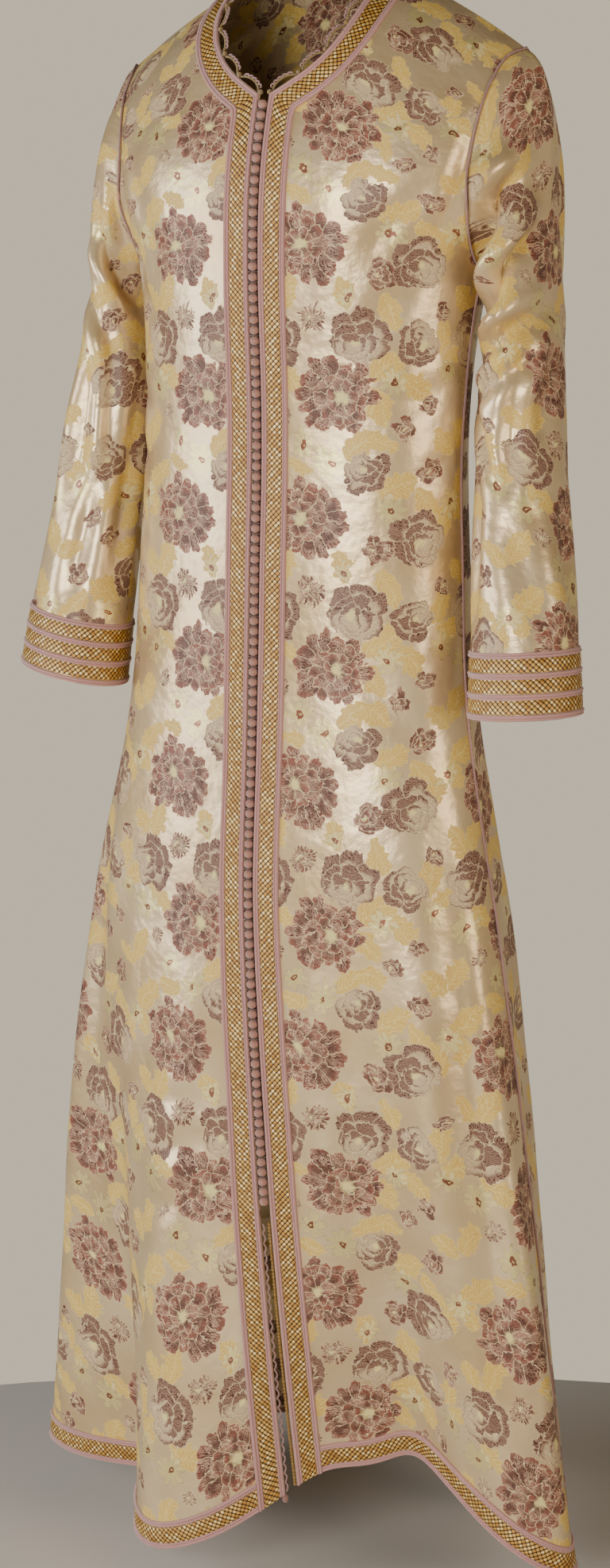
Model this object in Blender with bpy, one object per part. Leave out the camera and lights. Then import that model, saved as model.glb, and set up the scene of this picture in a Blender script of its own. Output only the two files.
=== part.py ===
"""Moroccan kaftan, worn: two fronts, a back and two set-in sleeves of figured satin brocade, with
woven gold bands between rose cords, knotted thread buttons and a scalloped neck edging.

Metres, +Z up. The front faces -Y and the wearer's left is +X. The origin lies between the
shoulders, at the height where the garment hangs from the wearer.
"""

from collections import namedtuple

import bpy
import numpy as np

MM = 0.001
WALL = 2.0 * MM  # brocade and its backing, quilted together by the seams
SEAM_GAP = 0.3 * MM
LIFT = 0.3 * MM  # between a panel and what is sewn on it

TRIM_WIDTH = 26 * MM  # gold band with a rose cord on each side
CORD_WIDTH = 5.5 * MM
GOLD_THICK = 1.3 * MM
CORD_THICK = 2.4 * MM
EDGE_HALF_GAP = 4.8 * MM  # half of the space between the fronts, filled by the buttons
SEAM_CORD_RADIUS = 1.6 * MM

BUTTON_RADIUS = 4.0 * MM
BUTTON_NECK_RADIUS = 1.4 * MM
BUTTON_PITCH = 9.2 * MM
BUTTON_COUNT = 108
BUTTON_GROUPS = 10
BUTTON_PROUD = 1.5 * MM  # how far the button centres stand out from the cloth

SLIT_EDGE_RADIUS = 1.5 * MM  # the loops and beads down the slit, joined into one row a side
SLIT_EDGE_REACH = 2.2 * MM

SCALLOP_PITCH = 30 * MM
SCALLOP_DEPTH = 9 * MM
EDGING_THICK = 1.5 * MM

CUFF_BANDS = 3
CUFF_TRIM_HEIGHT = 58 * MM

V_BOTTOM_HEIGHT = -0.078  # bottom of the neck opening, where the buttons begin
V_HALF_ANGLE = np.radians(32.5)  # half of the turn that the band makes there
SLIT_TOP_HEIGHT = -1.085  # the buttons end here and the fronts hang open

# Shoulder ridge: its height at the centre line, its fall with breadth and with breadth squared.
RIDGE_TOP, RIDGE_FALL, RIDGE_CURVE = 0.050, 0.25, 1.15
SHOULDER_INSET = 0.6 * MM  # from the ridge to each panel's middle surface, for the shoulder seam

# Levels of the body from the hem up. side_x and side_y say where the line between the side seams
# lies, front and back are the depths from it, square fills out the corners of the ellipse, slope
# is the share of the shoulders' slope that the level follows, and sway is how far the closure
# swings to the wearer's left.
Level = namedtuple("Level", "height half_width side_x side_y front back square slope sway")
LEVELS = [
    Level(-1.400, 0.270, -0.028, -0.010, 0.122, 0.188, 0.03, 0.0, 0.054),  # hem
    Level(-1.200, 0.254, -0.028, -0.016, 0.118, 0.176, 0.03, 0.0, 0.042),
    Level(-1.000, 0.234, -0.026, -0.022, 0.108, 0.160, 0.03, 0.0, 0.027),
    Level(-0.800, 0.206, -0.020, -0.026, 0.096, 0.142, 0.03, 0.0, 0.009),
    Level(-0.630, 0.173, -0.013, -0.027, 0.086, 0.120, 0.03, 0.0, 0.002),  # hips
    Level(-0.480, 0.162, -0.009, -0.027, 0.084, 0.098, 0.03, 0.0, 0.0),
    Level(-0.350, 0.158, -0.006, -0.025, 0.088, 0.088, 0.03, 0.0, 0.0),  # waist
    Level(-0.228, 0.168, -0.003, -0.015, 0.109, 0.096, 0.03, 0.0, 0.0),  # underarm
    Level(-0.140, 0.199, 0.000, -0.007, 0.117, 0.102, 0.03, 0.25, 0.0),  # chest
    Level(-0.060, 0.216, 0.000, -0.002, 0.101, 0.096, 0.03, 0.6, 0.0),
    Level(0.000, 0.220, 0.000, 0.000, 0.077, 0.078, 0.02, 0.9, 0.0),
    Level(0.035, 0.220, 0.000, 0.000, 0.041, 0.042, 0.0, 1.0, 0.0),
    Level(0.050, 0.220, 0.000, 0.000, 0.000, 0.000, 0.0, 1.0, 0.0),  # shoulder ridge
]
UNDERARM = 7
RIDGE = len(LEVELS) - 1

# Folds of the skirt. angle is measured round the body from centre front, positive to the wearer's
# left, depth is how far the cloth moves out at the hem, top is the height where the fold dies out,
# and lift is how much it raises the hem.
Fold = namedtuple("Fold", "angle width depth top lift")
FOLDS = [
    Fold(5, 13, -0.018, -0.85, 0.034),  # edge of the valley, at the closure
    Fold(32, 23, -0.074, -0.72, 0.072),  # valley to the wearer's left of the closure
    Fold(77, 19, 0.026, -0.80, -0.012),  # wearer's left side flute
    Fold(106, 15, -0.018, -0.80, 0.000),
    Fold(132, 17, 0.016, -0.70, -0.012),
    Fold(160, 13, -0.024, -0.75, 0.000),
    Fold(-174, 15, 0.026, -0.65, -0.012),
    Fold(-144, 14, -0.022, -0.70, 0.000),
    Fold(-116, 15, 0.012, -0.70, 0.000),
    Fold(-84, 15, 0.020, -0.80, 0.008),  # wearer's right side flute
    Fold(-50, 15, -0.055, -0.72, 0.004),
    Fold(-21, 14, 0.046, -0.78, -0.024),  # wearer's right front flute
]
FOLD_POWER = 1.4
CENTRE_LIFT = 0.010  # how much the hem rises at centre front

# Half of the neck opening, from the bottom of the opening up to the shoulder.
Neck = namedtuple("Neck", "half_breadth height")
NECK_FRONT = [
    Neck(EDGE_HALF_GAP, V_BOTTOM_HEIGHT),
    Neck(0.021, -0.068),
    Neck(0.037, -0.057),
    Neck(0.051, -0.043),
    Neck(0.062, -0.025),
    Neck(0.069, -0.003),
    Neck(0.072, 0.026),
]
NECK_HALF_BREADTH = 0.072
NECK_BACK_LEVEL = 10.45
ARMHOLE_SCOOP_FRONT, ARMHOLE_SCOOP_BACK, ARMHOLE_TOP = np.radians((26, 19, 26))
ARMHOLE_STEPS = 9

# Rings of a sleeve below the underarm: height, place across and front to back, half width and
# half depth, and how far the outer side rises for each metre of breadth. The upper sleeve is a
# cap that runs from the armhole to the first ring.
Ring = namedtuple("Ring", "height x y half_width half_depth tilt")
RINGS = {
    "left": [
        Ring(-0.262, 0.2010, 0.000, 0.0235, 0.060, 0.00),  # upper arm
        Ring(-0.314, 0.1975, 0.002, 0.0320, 0.056, 0.00),
        Ring(-0.366, 0.1990, 0.000, 0.0355, 0.052, 0.01),  # elbow
        Ring(-0.432, 0.2065, -0.014, 0.0385, 0.048, 0.02),
        Ring(-0.498, 0.2155, -0.030, 0.0430, 0.047, 0.04),
        Ring(-0.556, 0.2240, -0.043, 0.0465, 0.046, 0.06),  # top of the cuff
        Ring(-0.614, 0.2314, -0.056, 0.0490, 0.046, 0.06),  # edge of the cuff
    ],
    "right": [
        Ring(-0.258, 0.2050, -0.006, 0.0245, 0.060, 0.00),
        Ring(-0.305, 0.2040, -0.016, 0.0330, 0.056, 0.02),
        Ring(-0.360, 0.2110, -0.024, 0.0365, 0.052, 0.06),
        Ring(-0.425, 0.2190, -0.032, 0.0390, 0.048, 0.12),
        Ring(-0.490, 0.2270, -0.044, 0.0430, 0.047, 0.18),
        Ring(-0.545, 0.2310, -0.055, 0.0465, 0.046, 0.22),
        Ring(-0.602, 0.2340, -0.066, 0.0490, 0.046, 0.22),
    ],
}
CAP_STEPS = 5
RING_STEPS = 2
CAP_FULLNESS = 0.55

SIDES = {"right": -1, "left": 1}

LOW_ROWS = 14  # from the hem to the underarm
FIRST_ROW_LEVEL = 0.42
V_ROW = 3  # armhole rows up to the bottom of the neck opening
FRONT_COLUMNS = 12
SHOULDER_COLUMNS, NECK_COLUMNS = 5, 10

SATIN = (0.62, 0.52, 0.38)
GOLD = (0.52, 0.33, 0.11)
ROSE = (0.52, 0.31, 0.28)
BUTTON_ROSE = (0.42, 0.22, 0.16)


# ---------------------------------------------------------------- curves and surfaces


def along(values, place):
    """Smooth (Catmull-Rom) curve through evenly numbered values, read at place."""
    values = np.asarray(values, float)
    values = np.concatenate([[2 * values[0] - values[1]], values, [2 * values[-1] - values[-2]]])
    first = np.clip(np.floor(place).astype(int), 0, len(values) - 4)
    t = place - first
    if values.ndim > 1:
        t = t[..., None]
    a, b, c, d = (values[first + i] for i in range(4))
    return b + t * (c - a) / 2 + t**2 * (a - 2.5 * b + 2 * c - d / 2) + t**3 * (1.5 * (b - c) + (d - a) / 2)


def level_value(name, level):
    return along([getattr(row, name) for row in LEVELS], level)


def ridge_fall(x):
    """How far the shoulder ridge lies below its top at this breadth."""
    return RIDGE_FALL * np.sqrt(x**2 + 0.02**2) - RIDGE_FALL * 0.02 + RIDGE_CURVE * x**2


def turn_between(angle, centre):
    return (angle - centre + np.pi) % (2 * np.pi) - np.pi


def body(angle, level):
    """Point of the body cloth, at an angle round from centre front and a level from the hem.

    A squared ellipse at the level's size, moved out by the folds, which grow towards the hem as
    bell curves round the body, and let down along the shoulder slope.
    """
    angle, level = np.broadcast_arrays(np.asarray(angle, float), np.asarray(level, float))
    height = level_value("height", level)
    ahead = np.cos(angle) > 0
    depth = np.where(ahead, level_value("front", level), level_value("back", level))
    fill = 1 + level_value("square", level) * np.sin(2 * angle) ** 2
    out = np.zeros(angle.shape)
    lift = CENTRE_LIFT * np.cos(angle / 2) ** 8
    for fold in FOLDS:
        share = np.clip((fold.top - height) / (fold.top - LEVELS[0].height), 0, None) ** FOLD_POWER
        bell = np.exp(-((turn_between(angle, np.radians(fold.angle)) / np.radians(fold.width)) ** 2))
        out = out + fold.depth * share * bell
        lift = lift + fold.lift * bell
    low = np.clip(1 - level / 3.0, 0, None) ** 2
    x = level_value("side_x", level) + np.sin(angle) * (level_value("half_width", level) * fill + out)
    x = x + level_value("sway", level) * np.cos(angle / 2) ** 4
    y = level_value("side_y", level) - np.cos(angle) * (depth * fill + out)
    z = height - level_value("slope", level) * ridge_fall(x) + lift * low
    return np.stack([x, y, z], -1)


TINY = 1e-3


def body_slopes(angle, level):
    round_way = (body(angle + TINY, level) - body(angle - TINY, level)) / (2 * TINY)
    up_way = (body(angle, level + TINY) - body(angle, level - TINY)) / (2 * TINY)
    return round_way, up_way


def body_normal(angle, level):
    round_way, up_way = body_slopes(angle, level)
    return unit(np.cross(round_way, up_way))


def unit(vectors):
    return vectors / np.maximum(np.linalg.norm(vectors, axis=-1, keepdims=True), 1e-12)


def dot(a, b):
    return (a * b).sum(-1)


def step(angle, level, move):
    """Place on the body cloth after a move, a vector in metres along the cloth, in four short steps."""
    for _ in range(4):
        a, b = body_slopes(angle, level)
        aa, ab, bb = dot(a, a), dot(a, b), dot(b, b)
        am, bm = dot(a, move) / 4, dot(b, move) / 4
        scale = aa * bb - ab**2
        angle = angle + (am * bb - bm * ab) / scale
        level = level + (bm * aa - am * ab) / scale
    return angle, level


def find(x, height, side):
    """Angle and level of the front cloth's point at breadth x and this height, by repeated trial."""
    levels = np.linspace(0, RIDGE, 600)
    level = np.full(np.shape(x), 9.0)
    for _ in range(12):
        flat = height + level_value("slope", level) * ridge_fall(x)
        level = np.interp(flat, level_value("height", levels), levels)
    half = level_value("half_width", level)
    return side * np.arcsin(x / half), level


def level_at(height):
    levels = np.linspace(0, RIDGE, 600)
    return np.interp(height, level_value("height", levels), levels)


def top_level(angle):
    """Level where a panel ends at the shoulder seam, the inset away from the ridge."""
    return RIDGE - SHOULDER_INSET / (LEVELS[-2].front * np.abs(np.cos(angle)))


def armhole(turn, side, behind):
    """Angle and level along half an armhole: turn 0 is the underarm and pi the shoulder.

    The level rises as 1 - cos(turn / 2), and the edge is scooped in from the side line by a sine.
    """
    rise = 1 - np.cos(turn / 2)
    scoop = ARMHOLE_SCOOP_BACK if behind else ARMHOLE_SCOOP_FRONT
    cut = scoop * np.sin(turn) + ARMHOLE_TOP * rise
    shoulder = top_level(np.pi / 2 - ARMHOLE_TOP)
    level = UNDERARM + (shoulder - UNDERARM) * rise
    gap = (SEAM_GAP / 2) / level_value("half_width", level) * (1 - rise)
    quarter = np.pi / 2 + cut + gap if behind else np.pi / 2 - cut - gap
    return side * quarter, level


def side_seam(level, side, behind):
    gap = (SEAM_GAP / 2) / level_value("half_width", level)
    return side * (np.pi / 2 + (gap if behind else -gap))


def low_levels():
    """Levels of the rows from above the hem band to the underarm."""
    return np.linspace(FIRST_ROW_LEVEL, UNDERARM, LOW_ROWS - 1)


# ---------------------------------------------------------------- the panels' grids


def front_edge(side):
    """Angle and level of each row's inner end: up centre front, then round the neck.

    Row 1 is left at the hem band's top edge and is worked out from the hem.
    """
    v_level = level_at(V_BOTTOM_HEIGHT)
    armhole_part = np.linspace(UNDERARM, v_level, V_ROW + 1)[1:]
    straight = np.concatenate([[0.0, FIRST_ROW_LEVEL / 3], low_levels(), armhole_part])
    angle = side * np.arcsin(EDGE_HALF_GAP / level_value("half_width", straight))
    places = np.linspace(0, len(NECK_FRONT) - 1, ARMHOLE_STEPS - V_ROW + 1)[1:]
    neck = along([tuple(point) for point in NECK_FRONT], places)
    neck_angle, neck_level = find(neck[:, 0], neck[:, 1], side)
    neck_level[-1] = top_level(neck_angle[-1])
    return np.concatenate([angle, neck_angle]), np.concatenate([straight, neck_level])


def band_edge(angle, level, side, corner):
    """The line one trim width in from an edge, mitred where the edge turns at its corner row."""
    points = body(angle, level)
    normals = body_normal(angle, level)
    steps = np.diff(points, axis=0)
    below = unit(np.concatenate([steps[:1], steps]))
    above = unit(np.concatenate([steps, steps[-1:]]))
    way = unit(below + above)
    inward = side * unit(np.cross(way, normals))
    lengths = np.concatenate([[0], np.cumsum(np.linalg.norm(steps, axis=1))])
    lengths = lengths - lengths[corner]
    slide = np.sign(lengths) * TRIM_WIDTH * np.tan(V_HALF_ANGLE) * np.exp(-np.abs(lengths) / 0.03)
    move = inward * TRIM_WIDTH + way * slide[:, None]
    move[corner] = inward[corner] * TRIM_WIDTH / np.cos(V_HALF_ANGLE)
    return step(angle, level, move)


def up_from_hem(angle):
    """The line one trim width above the hem."""
    zero = np.zeros(angle.shape)
    round_way, up_way = body_slopes(angle, zero)
    along_hem = unit(round_way)
    up = unit(up_way - along_hem * dot(up_way, along_hem)[:, None])
    return step(angle, zero, up * TRIM_WIDTH)


def front_grid(side):
    """Angles and levels of a front: rows from the hem to the shoulder, columns from the edge out."""
    edge_angle, edge_level = front_edge(side)
    corner = LOW_ROWS + V_ROW
    band_angle, band_level = band_edge(edge_angle, edge_level, side, corner)
    band_level[0], band_level[-1] = 0.0, top_level(band_angle[-1])
    low = np.concatenate([[0.0, FIRST_ROW_LEVEL / 3], low_levels()])
    turns = np.linspace(0, np.pi, ARMHOLE_STEPS + 1)[1:]
    arm_angle, arm_level = armhole(turns, side, False)
    out_angle = np.concatenate([side_seam(low, side, False), arm_angle])
    out_level = np.concatenate([low, arm_level])
    share = np.linspace(0, 1, FRONT_COLUMNS)
    angle = band_angle[:, None] + (out_angle - band_angle)[:, None] * share
    level = band_level[:, None] + (out_level - band_level)[:, None] * share
    angle = np.concatenate([edge_angle[:, None], angle], 1)
    level = np.concatenate([edge_level[:, None], level], 1)
    level[-1] = top_level(angle[-1])
    angle[1], level[1] = up_from_hem(angle[0])
    # The side seam and the band down the front keep their own lines there.
    angle[1, -1] = side_seam(level[1, -1], side, False)
    angle[1, 0] = np.interp(level[1, 0], edge_level[[0, 2]], edge_angle[[0, 2]])
    angle[1, 1] = np.interp(level[1, 1], band_level[[0, 2]], band_angle[[0, 2]])
    return angle, level


def back_grid():
    """Angles and levels of the back, from the wearer's left side round to the right."""
    columns = 2 * SHOULDER_COLUMNS + NECK_COLUMNS
    share = np.linspace(0, 1, columns + 1)
    low = np.concatenate([[0.0, FIRST_ROW_LEVEL / 3], low_levels()])
    left, right = side_seam(low, 1, True), 2 * np.pi + side_seam(low, -1, True)
    angle = left[:, None] + (right - left)[:, None] * share
    level = low[:, None] + 0 * angle
    angle[1], level[1] = up_from_hem(angle[0])
    angle[1, 0] = side_seam(level[1, 0], 1, True)
    angle[1, -1] = 2 * np.pi + side_seam(level[1, -1], -1, True)

    # The top edge: shoulder, back neck, shoulder.
    shoulder = armhole(np.pi, 1, True)[0]
    neck = np.pi - np.arcsin(NECK_HALF_BREADTH / LEVELS[-1].half_width)
    corners = (0, SHOULDER_COLUMNS, columns - SHOULDER_COLUMNS, columns)
    corner_angles = (shoulder, neck, 2 * np.pi - neck, 2 * np.pi - shoulder)
    top_angle = np.interp(np.arange(columns + 1), corners, corner_angles)
    dip = np.clip((top_angle - neck) / (2 * np.pi - 2 * neck), 0, 1)
    seam = top_level(top_angle)
    neck_level = seam - (seam - NECK_BACK_LEVEL) * np.sin(np.pi * dip) ** 0.8
    ends = np.gradient(body(top_angle, neck_level), axis=0)
    down = unit(np.cross(body_normal(top_angle, neck_level), unit(ends))) * TRIM_WIDTH
    down = down * -np.sign(down[:, 2:])
    near_angle, near_level = step(top_angle, neck_level, down)

    # Between the underarm and the line one trim width below the top edge.
    turns = np.linspace(0, np.pi, ARMHOLE_STEPS + 1)[1:-1]
    side_angle, side_level = armhole(turns, 1, True)
    near_angle[[0, -1]] = side_angle[-1], 2 * np.pi - side_angle[-1]
    near_level[[0, -1]] = side_level[-1]
    rise = (np.arange(1, ARMHOLE_STEPS) / (ARMHOLE_STEPS - 1))[:, None]

    def filled(bottom, top, left_edge, right_edge):
        """Coons patch: the mean of the two ways across, less the corners."""
        across = left_edge[:, None] * (1 - share) + right_edge[:, None] * share
        upward = bottom * (1 - rise) + top * rise
        low_corners = bottom[0] * (1 - share) + bottom[-1] * share
        top_corners = top[0] * (1 - share) + top[-1] * share
        return across + upward - low_corners * (1 - rise) - top_corners * rise

    mid_angle = filled(angle[-1], near_angle, side_angle, 2 * np.pi - side_angle)
    mid_level = filled(level[-1], near_level, side_level, side_level)
    angle = np.concatenate([angle, mid_angle, top_angle[None]])
    level = np.concatenate([level, mid_level, neck_level[None]])
    return angle, level


def sleeve_rings(side_name):
    """Mid-surface of a sleeve: rows down the arm, columns round it from the underarm by the front.

    The cap runs from the armhole as a Hermite curve, first outwards and then down. Below it each
    column is a smooth curve through the rings, which are ellipses.
    """
    side = SIDES[side_name]
    turns = np.linspace(0, np.pi, ARMHOLE_STEPS + 1)
    ahead = armhole(turns, side, False)
    behind = armhole(turns[-2:0:-1], side, True)
    angle, level = np.concatenate([ahead[0], behind[0]]), np.concatenate([ahead[1], behind[1]])
    hole = body(angle, level)
    normals = body_normal(angle, level)
    # The way off the panel, at right angles to the armhole.
    round_hole = unit(np.roll(hole, -1, 0) - np.roll(hole, 1, 0))
    off = side * unit(np.cross(round_hole, normals))
    start = hole + off * (WALL / 2 + 2 * SEAM_GAP)
    ways = np.concatenate([turns, 2 * np.pi - turns[-2:0:-1]])
    rings = []
    for ring in RINGS[side_name]:
        outward = -ring.half_width * np.cos(ways)
        x = side * (ring.x + outward)
        y = ring.y - ring.half_depth * np.sin(ways)
        z = ring.height + ring.tilt * outward
        rings.append(np.stack([x, y, z], -1))
    rings = np.array(rings)
    first, after = rings[0], rings[1]
    far = np.linalg.norm(first - start, axis=1)[:, None]
    leave = unit(0.3 * off + np.array([side * 1.2, 0, -0.25])) * far * CAP_FULLNESS
    arrive = unit(after - first) * far
    t = np.linspace(0, 1, CAP_STEPS + 1)[:-1, None, None]
    cap = (
        (2 * t**3 - 3 * t**2 + 1) * start
        + (t**3 - 2 * t**2 + t) * leave
        + (3 * t**2 - 2 * t**3) * first
        + (t**3 - t**2) * arrive
    )
    places = np.linspace(0, len(rings) - 1, (len(rings) - 1) * RING_STEPS + 1)
    places = np.append(places[: -RING_STEPS], places[-1])
    return np.concatenate([cap, tube_rows(rings, places)])


def tube_rows(rings, places):
    """Smooth curves through the rings, read at places along them."""
    flat = rings.reshape(len(rings), -1)
    return along(flat, places).reshape(len(places), *rings.shape[1:])


# ---------------------------------------------------------------- solids


def grid_faces(rows, columns, closed=False):
    """Quads of a grid, wound so that they face away from the body when columns run to +angle."""
    width = columns if closed else columns - 1
    i, j = np.meshgrid(np.arange(rows - 1), np.arange(width), indexing="ij")
    i, j = i.ravel(), j.ravel()
    k = (j + 1) % columns
    return np.stack([i * columns + j, i * columns + k, (i + 1) * columns + k, (i + 1) * columns + j], 1)


def thick_sheet(outer, inner, closed=False):
    """Vertices and faces of a wall between two like grids, with its rim.

    Each cell is cut from its first corner to its third, so that a strip can lie flat on it.
    """
    rows, columns = outer.shape[:2]
    count = rows * columns
    cells = grid_faces(rows, columns, closed)
    faces = np.concatenate([cells[:, [0, 1, 2]], cells[:, [0, 2, 3]]])
    rim = []
    if closed:
        loops = [np.arange(columns), np.arange(columns)[::-1] + (rows - 1) * columns]
        loops = [np.append(loop, loop[0]) for loop in loops]
    else:
        index = np.arange(count).reshape(rows, columns)
        loops = [np.concatenate([index[0], index[1:, -1], index[-1, -2::-1], index[-2::-1, 0]])]
    for loop in loops:
        a, b = loop[:-1], loop[1:]
        rim.append(np.stack([b, a, a + count, b + count], 1))
    points = np.concatenate([outer.reshape(-1, 3), inner.reshape(-1, 3)])
    both = [list(face) for face in np.concatenate([faces, faces[:, ::-1] + count])]
    return points, both + [list(face) for face in np.concatenate(rim)]


def grid_normals(points, closed=False):
    """Normals of a grid of points, from its own central differences."""
    if closed:
        round_way = np.roll(points, -1, 1) - np.roll(points, 1, 1)
    else:
        round_way = np.gradient(points, axis=1)
    return unit(np.cross(round_way, np.gradient(points, axis=0)))


def tube(path, radius, sides=5):
    """Vertices and faces of a closed tube along a path. radius is one number or one for each point."""
    path = np.asarray(path)
    radius = np.broadcast_to(radius, len(path))
    way = unit(np.gradient(path, axis=0))
    beside = unit(np.cross(way, np.array([0.3, 1.0, 0.2])))
    other = np.cross(way, beside)
    turns = 2 * np.pi * np.arange(sides) / sides
    ring = beside[:, None] * np.cos(turns)[:, None] + other[:, None] * np.sin(turns)[:, None]
    points = path[:, None] + ring * radius[:, None, None]
    faces = grid_faces(len(path), sides, closed=True)[:, ::-1]
    caps = [list(range(sides)), list(range(len(path) * sides - 1, (len(path) - 1) * sides - 1, -1))]
    return points.reshape(-1, 3), [list(face) for face in faces] + caps


def volume_of(points, faces):
    total = 0.0
    for face in faces:
        corners = points[np.asarray(face)]
        for a, b in zip(corners[1:-1], corners[2:]):
            total += np.dot(corners[0], np.cross(a, b))
    return total / 6


MATERIALS = {}


def material(name, colour, roughness, metallic=0.0):
    if name not in MATERIALS:
        made = bpy.data.materials.new(name)
        made.use_nodes = True
        shader = made.node_tree.nodes["Principled BSDF"]
        shader.inputs["Base Color"].default_value = (*colour, 1.0)
        shader.inputs["Roughness"].default_value = roughness
        shader.inputs["Metallic"].default_value = metallic
        made.diffuse_color = (*colour, 1.0)
        MATERIALS[name] = made
    return MATERIALS[name]


def add_object(name, points, faces, finish):
    """One named solid, turned the right way out."""
    if volume_of(points, faces) < 0:
        faces = [list(face)[::-1] for face in faces]
    mesh = bpy.data.meshes.new(name)
    mesh.from_pydata([tuple(map(float, p)) for p in points], [], [list(map(int, f)) for f in faces])
    mesh.materials.append(finish)
    mesh.shade_smooth()
    mesh.set_sharp_from_angle(angle=np.radians(50))
    made = bpy.data.objects.new(name, mesh)
    bpy.context.scene.collection.objects.link(made)
    return made


def satin():
    return material("figured_satin", SATIN, 0.45)


def gold():
    return material("woven_gold_thread", GOLD, 0.4, 0.6)


def rose(name="rose_silk_cord", colour=ROSE):
    return material(name, colour, 0.6)


# ---------------------------------------------------------------- the pieces


class Sheet:
    """A panel's grid: its middle surface, the way out of it, and its two faces."""

    def __init__(self, middle, out, closed=False):
        self.middle, self.out, self.closed = middle, out, closed
        self.outer, self.inner = middle + out * WALL / 2, middle - out * WALL / 2

    def build(self, name):
        points, faces = thick_sheet(self.outer, self.inner, self.closed)
        add_object(name, points, faces, satin())


def body_sheet(angle, level):
    return Sheet(body(angle, level), body_normal(angle, level))


def across(near, far, share, closed, cut):
    """A line at this share of the way across a panel's cells, with a point on each cell's diagonal."""
    rows = near + (far - near) * share
    if not cut:
        return rows
    cuts = near + (np.roll(far, -1, 0) - near) * share
    line = np.stack([rows, cuts], 1).reshape(-1, 3)
    return line if closed else line[:-1]


def strip(name, near, far, out, share_from, share_to, thick, finish, closed=False, cut=True):
    """A flat band on a panel between two of its lines: at these shares of the way across."""
    shares = (share_from, share_to)
    low, high = (
        [across(near + out[0] * reach, far + out[1] * reach, share, closed, cut) for share in shares]
        for reach in (LIFT, LIFT + thick)
    )
    ring = np.stack([low[0], low[1], high[1], high[0]], 1)
    rows = len(ring)
    faces = [list(face) for face in grid_faces(rows + (1 if closed else 0), 4, closed=True) % (rows * 4)]
    if not closed:
        faces += [[3, 2, 1, 0], [rows * 4 - 4 + k for k in range(4)]]
    add_object(name, ring.reshape(-1, 3), faces, finish)


TRIM_END_SHARE = 0.03  # of a cell, left free at each end of a hem band
CORD_SHARE = CORD_WIDTH / TRIM_WIDTH
SPACE_SHARE = LIFT / TRIM_WIDTH
TRIM_PARTS = {  # share of the trim's width where each part starts and ends
    "inner": (0.02, CORD_SHARE),
    "gold": (CORD_SHARE + SPACE_SHARE, 1 - CORD_SHARE - SPACE_SHARE),
    "outer": (1 - CORD_SHARE, 1.0),
}


def trim(near, far, outs, names, rows=slice(None)):
    """Gold band with a rose cord on each side, between two lines of a panel."""
    outs = (outs[0][rows], outs[1][rows])
    for part, name in names.items():
        start, end = TRIM_PARTS[part]
        thick = GOLD_THICK if part == "gold" else CORD_THICK
        finish = gold() if part == "gold" else rose()
        strip(name, near[rows], far[rows], outs, start, end, thick, finish)


def front_trims(sheet, name):
    outs = (sheet.out[:, 0], sheet.out[:, 1])
    names = {
        "inner": f"front_cord_inner_{name}",
        "gold": f"front_gold_{name}",
        "outer": f"front_cord_outer_{name}",
    }
    trim(sheet.outer[:, 0], sheet.outer[:, 1], outs, names)


def hem_trims(sheet, name, first):
    """The hem's band, from a column on: the fronts' own bands run down to the hem before it."""
    outer, out = sheet.outer[:2, first:].copy(), sheet.out[:2, first:]
    for end, beside in ((0, 1), (-1, -2)):
        outer[:, end] = outer[:, end] + (outer[:, beside] - outer[:, end]) * TRIM_END_SHARE
    names = {
        "inner": f"hem_cord_lower_{name}",
        "gold": f"hem_gold_{name}",
        "outer": f"hem_cord_upper_{name}",
    }
    trim(outer[0], outer[1], (out[0], out[1]), names)


def neck_back_trims(sheet):
    part = slice(SHOULDER_COLUMNS + NECK_COLUMNS, SHOULDER_COLUMNS - 1, -1)
    names = {"inner": "neck_cord_inner_back", "gold": "neck_gold_back", "outer": "neck_cord_outer_back"}
    trim(sheet.outer[-1], sheet.outer[-2], (sheet.out[-1], sheet.out[-2]), names, part)


def edging(name, edge, out, off):
    """Scalloped edging beyond the neck edge: arches as the sine's size, one each pitch."""
    lengths = np.concatenate([[0], np.cumsum(np.linalg.norm(np.diff(edge, axis=0), axis=1))])
    arches = max(round(lengths[-1] / SCALLOP_PITCH), 1)
    places = np.linspace(0.004, 0.996, arches * 4 + 1) * lengths[-1]
    read = lambda rows: np.stack([np.interp(places, lengths, rows[:, k]) for k in range(3)], 1)
    base, outs, offs = read(edge), unit(read(out)), unit(read(off))
    reach = 2 * MM + (SCALLOP_DEPTH - 2 * MM) * np.abs(np.sin(np.pi * arches * places / lengths[-1]))
    near, far = base + offs * 0.6 * MM, base + offs * reach[:, None]
    strip(name, near, far, (outs, outs), 0, 1, EDGING_THICK, rose("rose_crochet"), cut=False)


def seam_cord(name, first, second, first_out, second_out, closed=False):
    """A cord over a seam, far enough out to clear the faces on both sides of it."""
    middle = (first + second) / 2
    way = unit(first_out + second_out)
    clear = SEAM_CORD_RADIUS + (5 if closed else 1) * LIFT
    reach = np.zeros(len(middle))
    for point, out in ((first, first_out), (second, second_out)):
        reach = np.maximum(reach, (clear - dot(middle - point, out)) / np.maximum(dot(way, out), 0.35))
    path = middle + way * reach[:, None]
    if not closed:
        points, faces = tube(path, SEAM_CORD_RADIUS)
        add_object(name, points, faces, rose())
        return
    around = unit(np.roll(path, -1, 0) - np.roll(path, 1, 0))
    beside = unit(np.cross(around, way))
    turns = 2 * np.pi * np.arange(5) / 5 + np.pi / 2
    ring = beside[:, None] * np.cos(turns)[:, None] + way[:, None] * np.sin(turns)[:, None]
    points = path[:, None] + ring * SEAM_CORD_RADIUS
    count = len(path) * 5
    faces = grid_faces(len(path) + 1, 5, closed=True) % count
    add_object(name, points.reshape(-1, 3), [list(face) for face in faces], rose())


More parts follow.
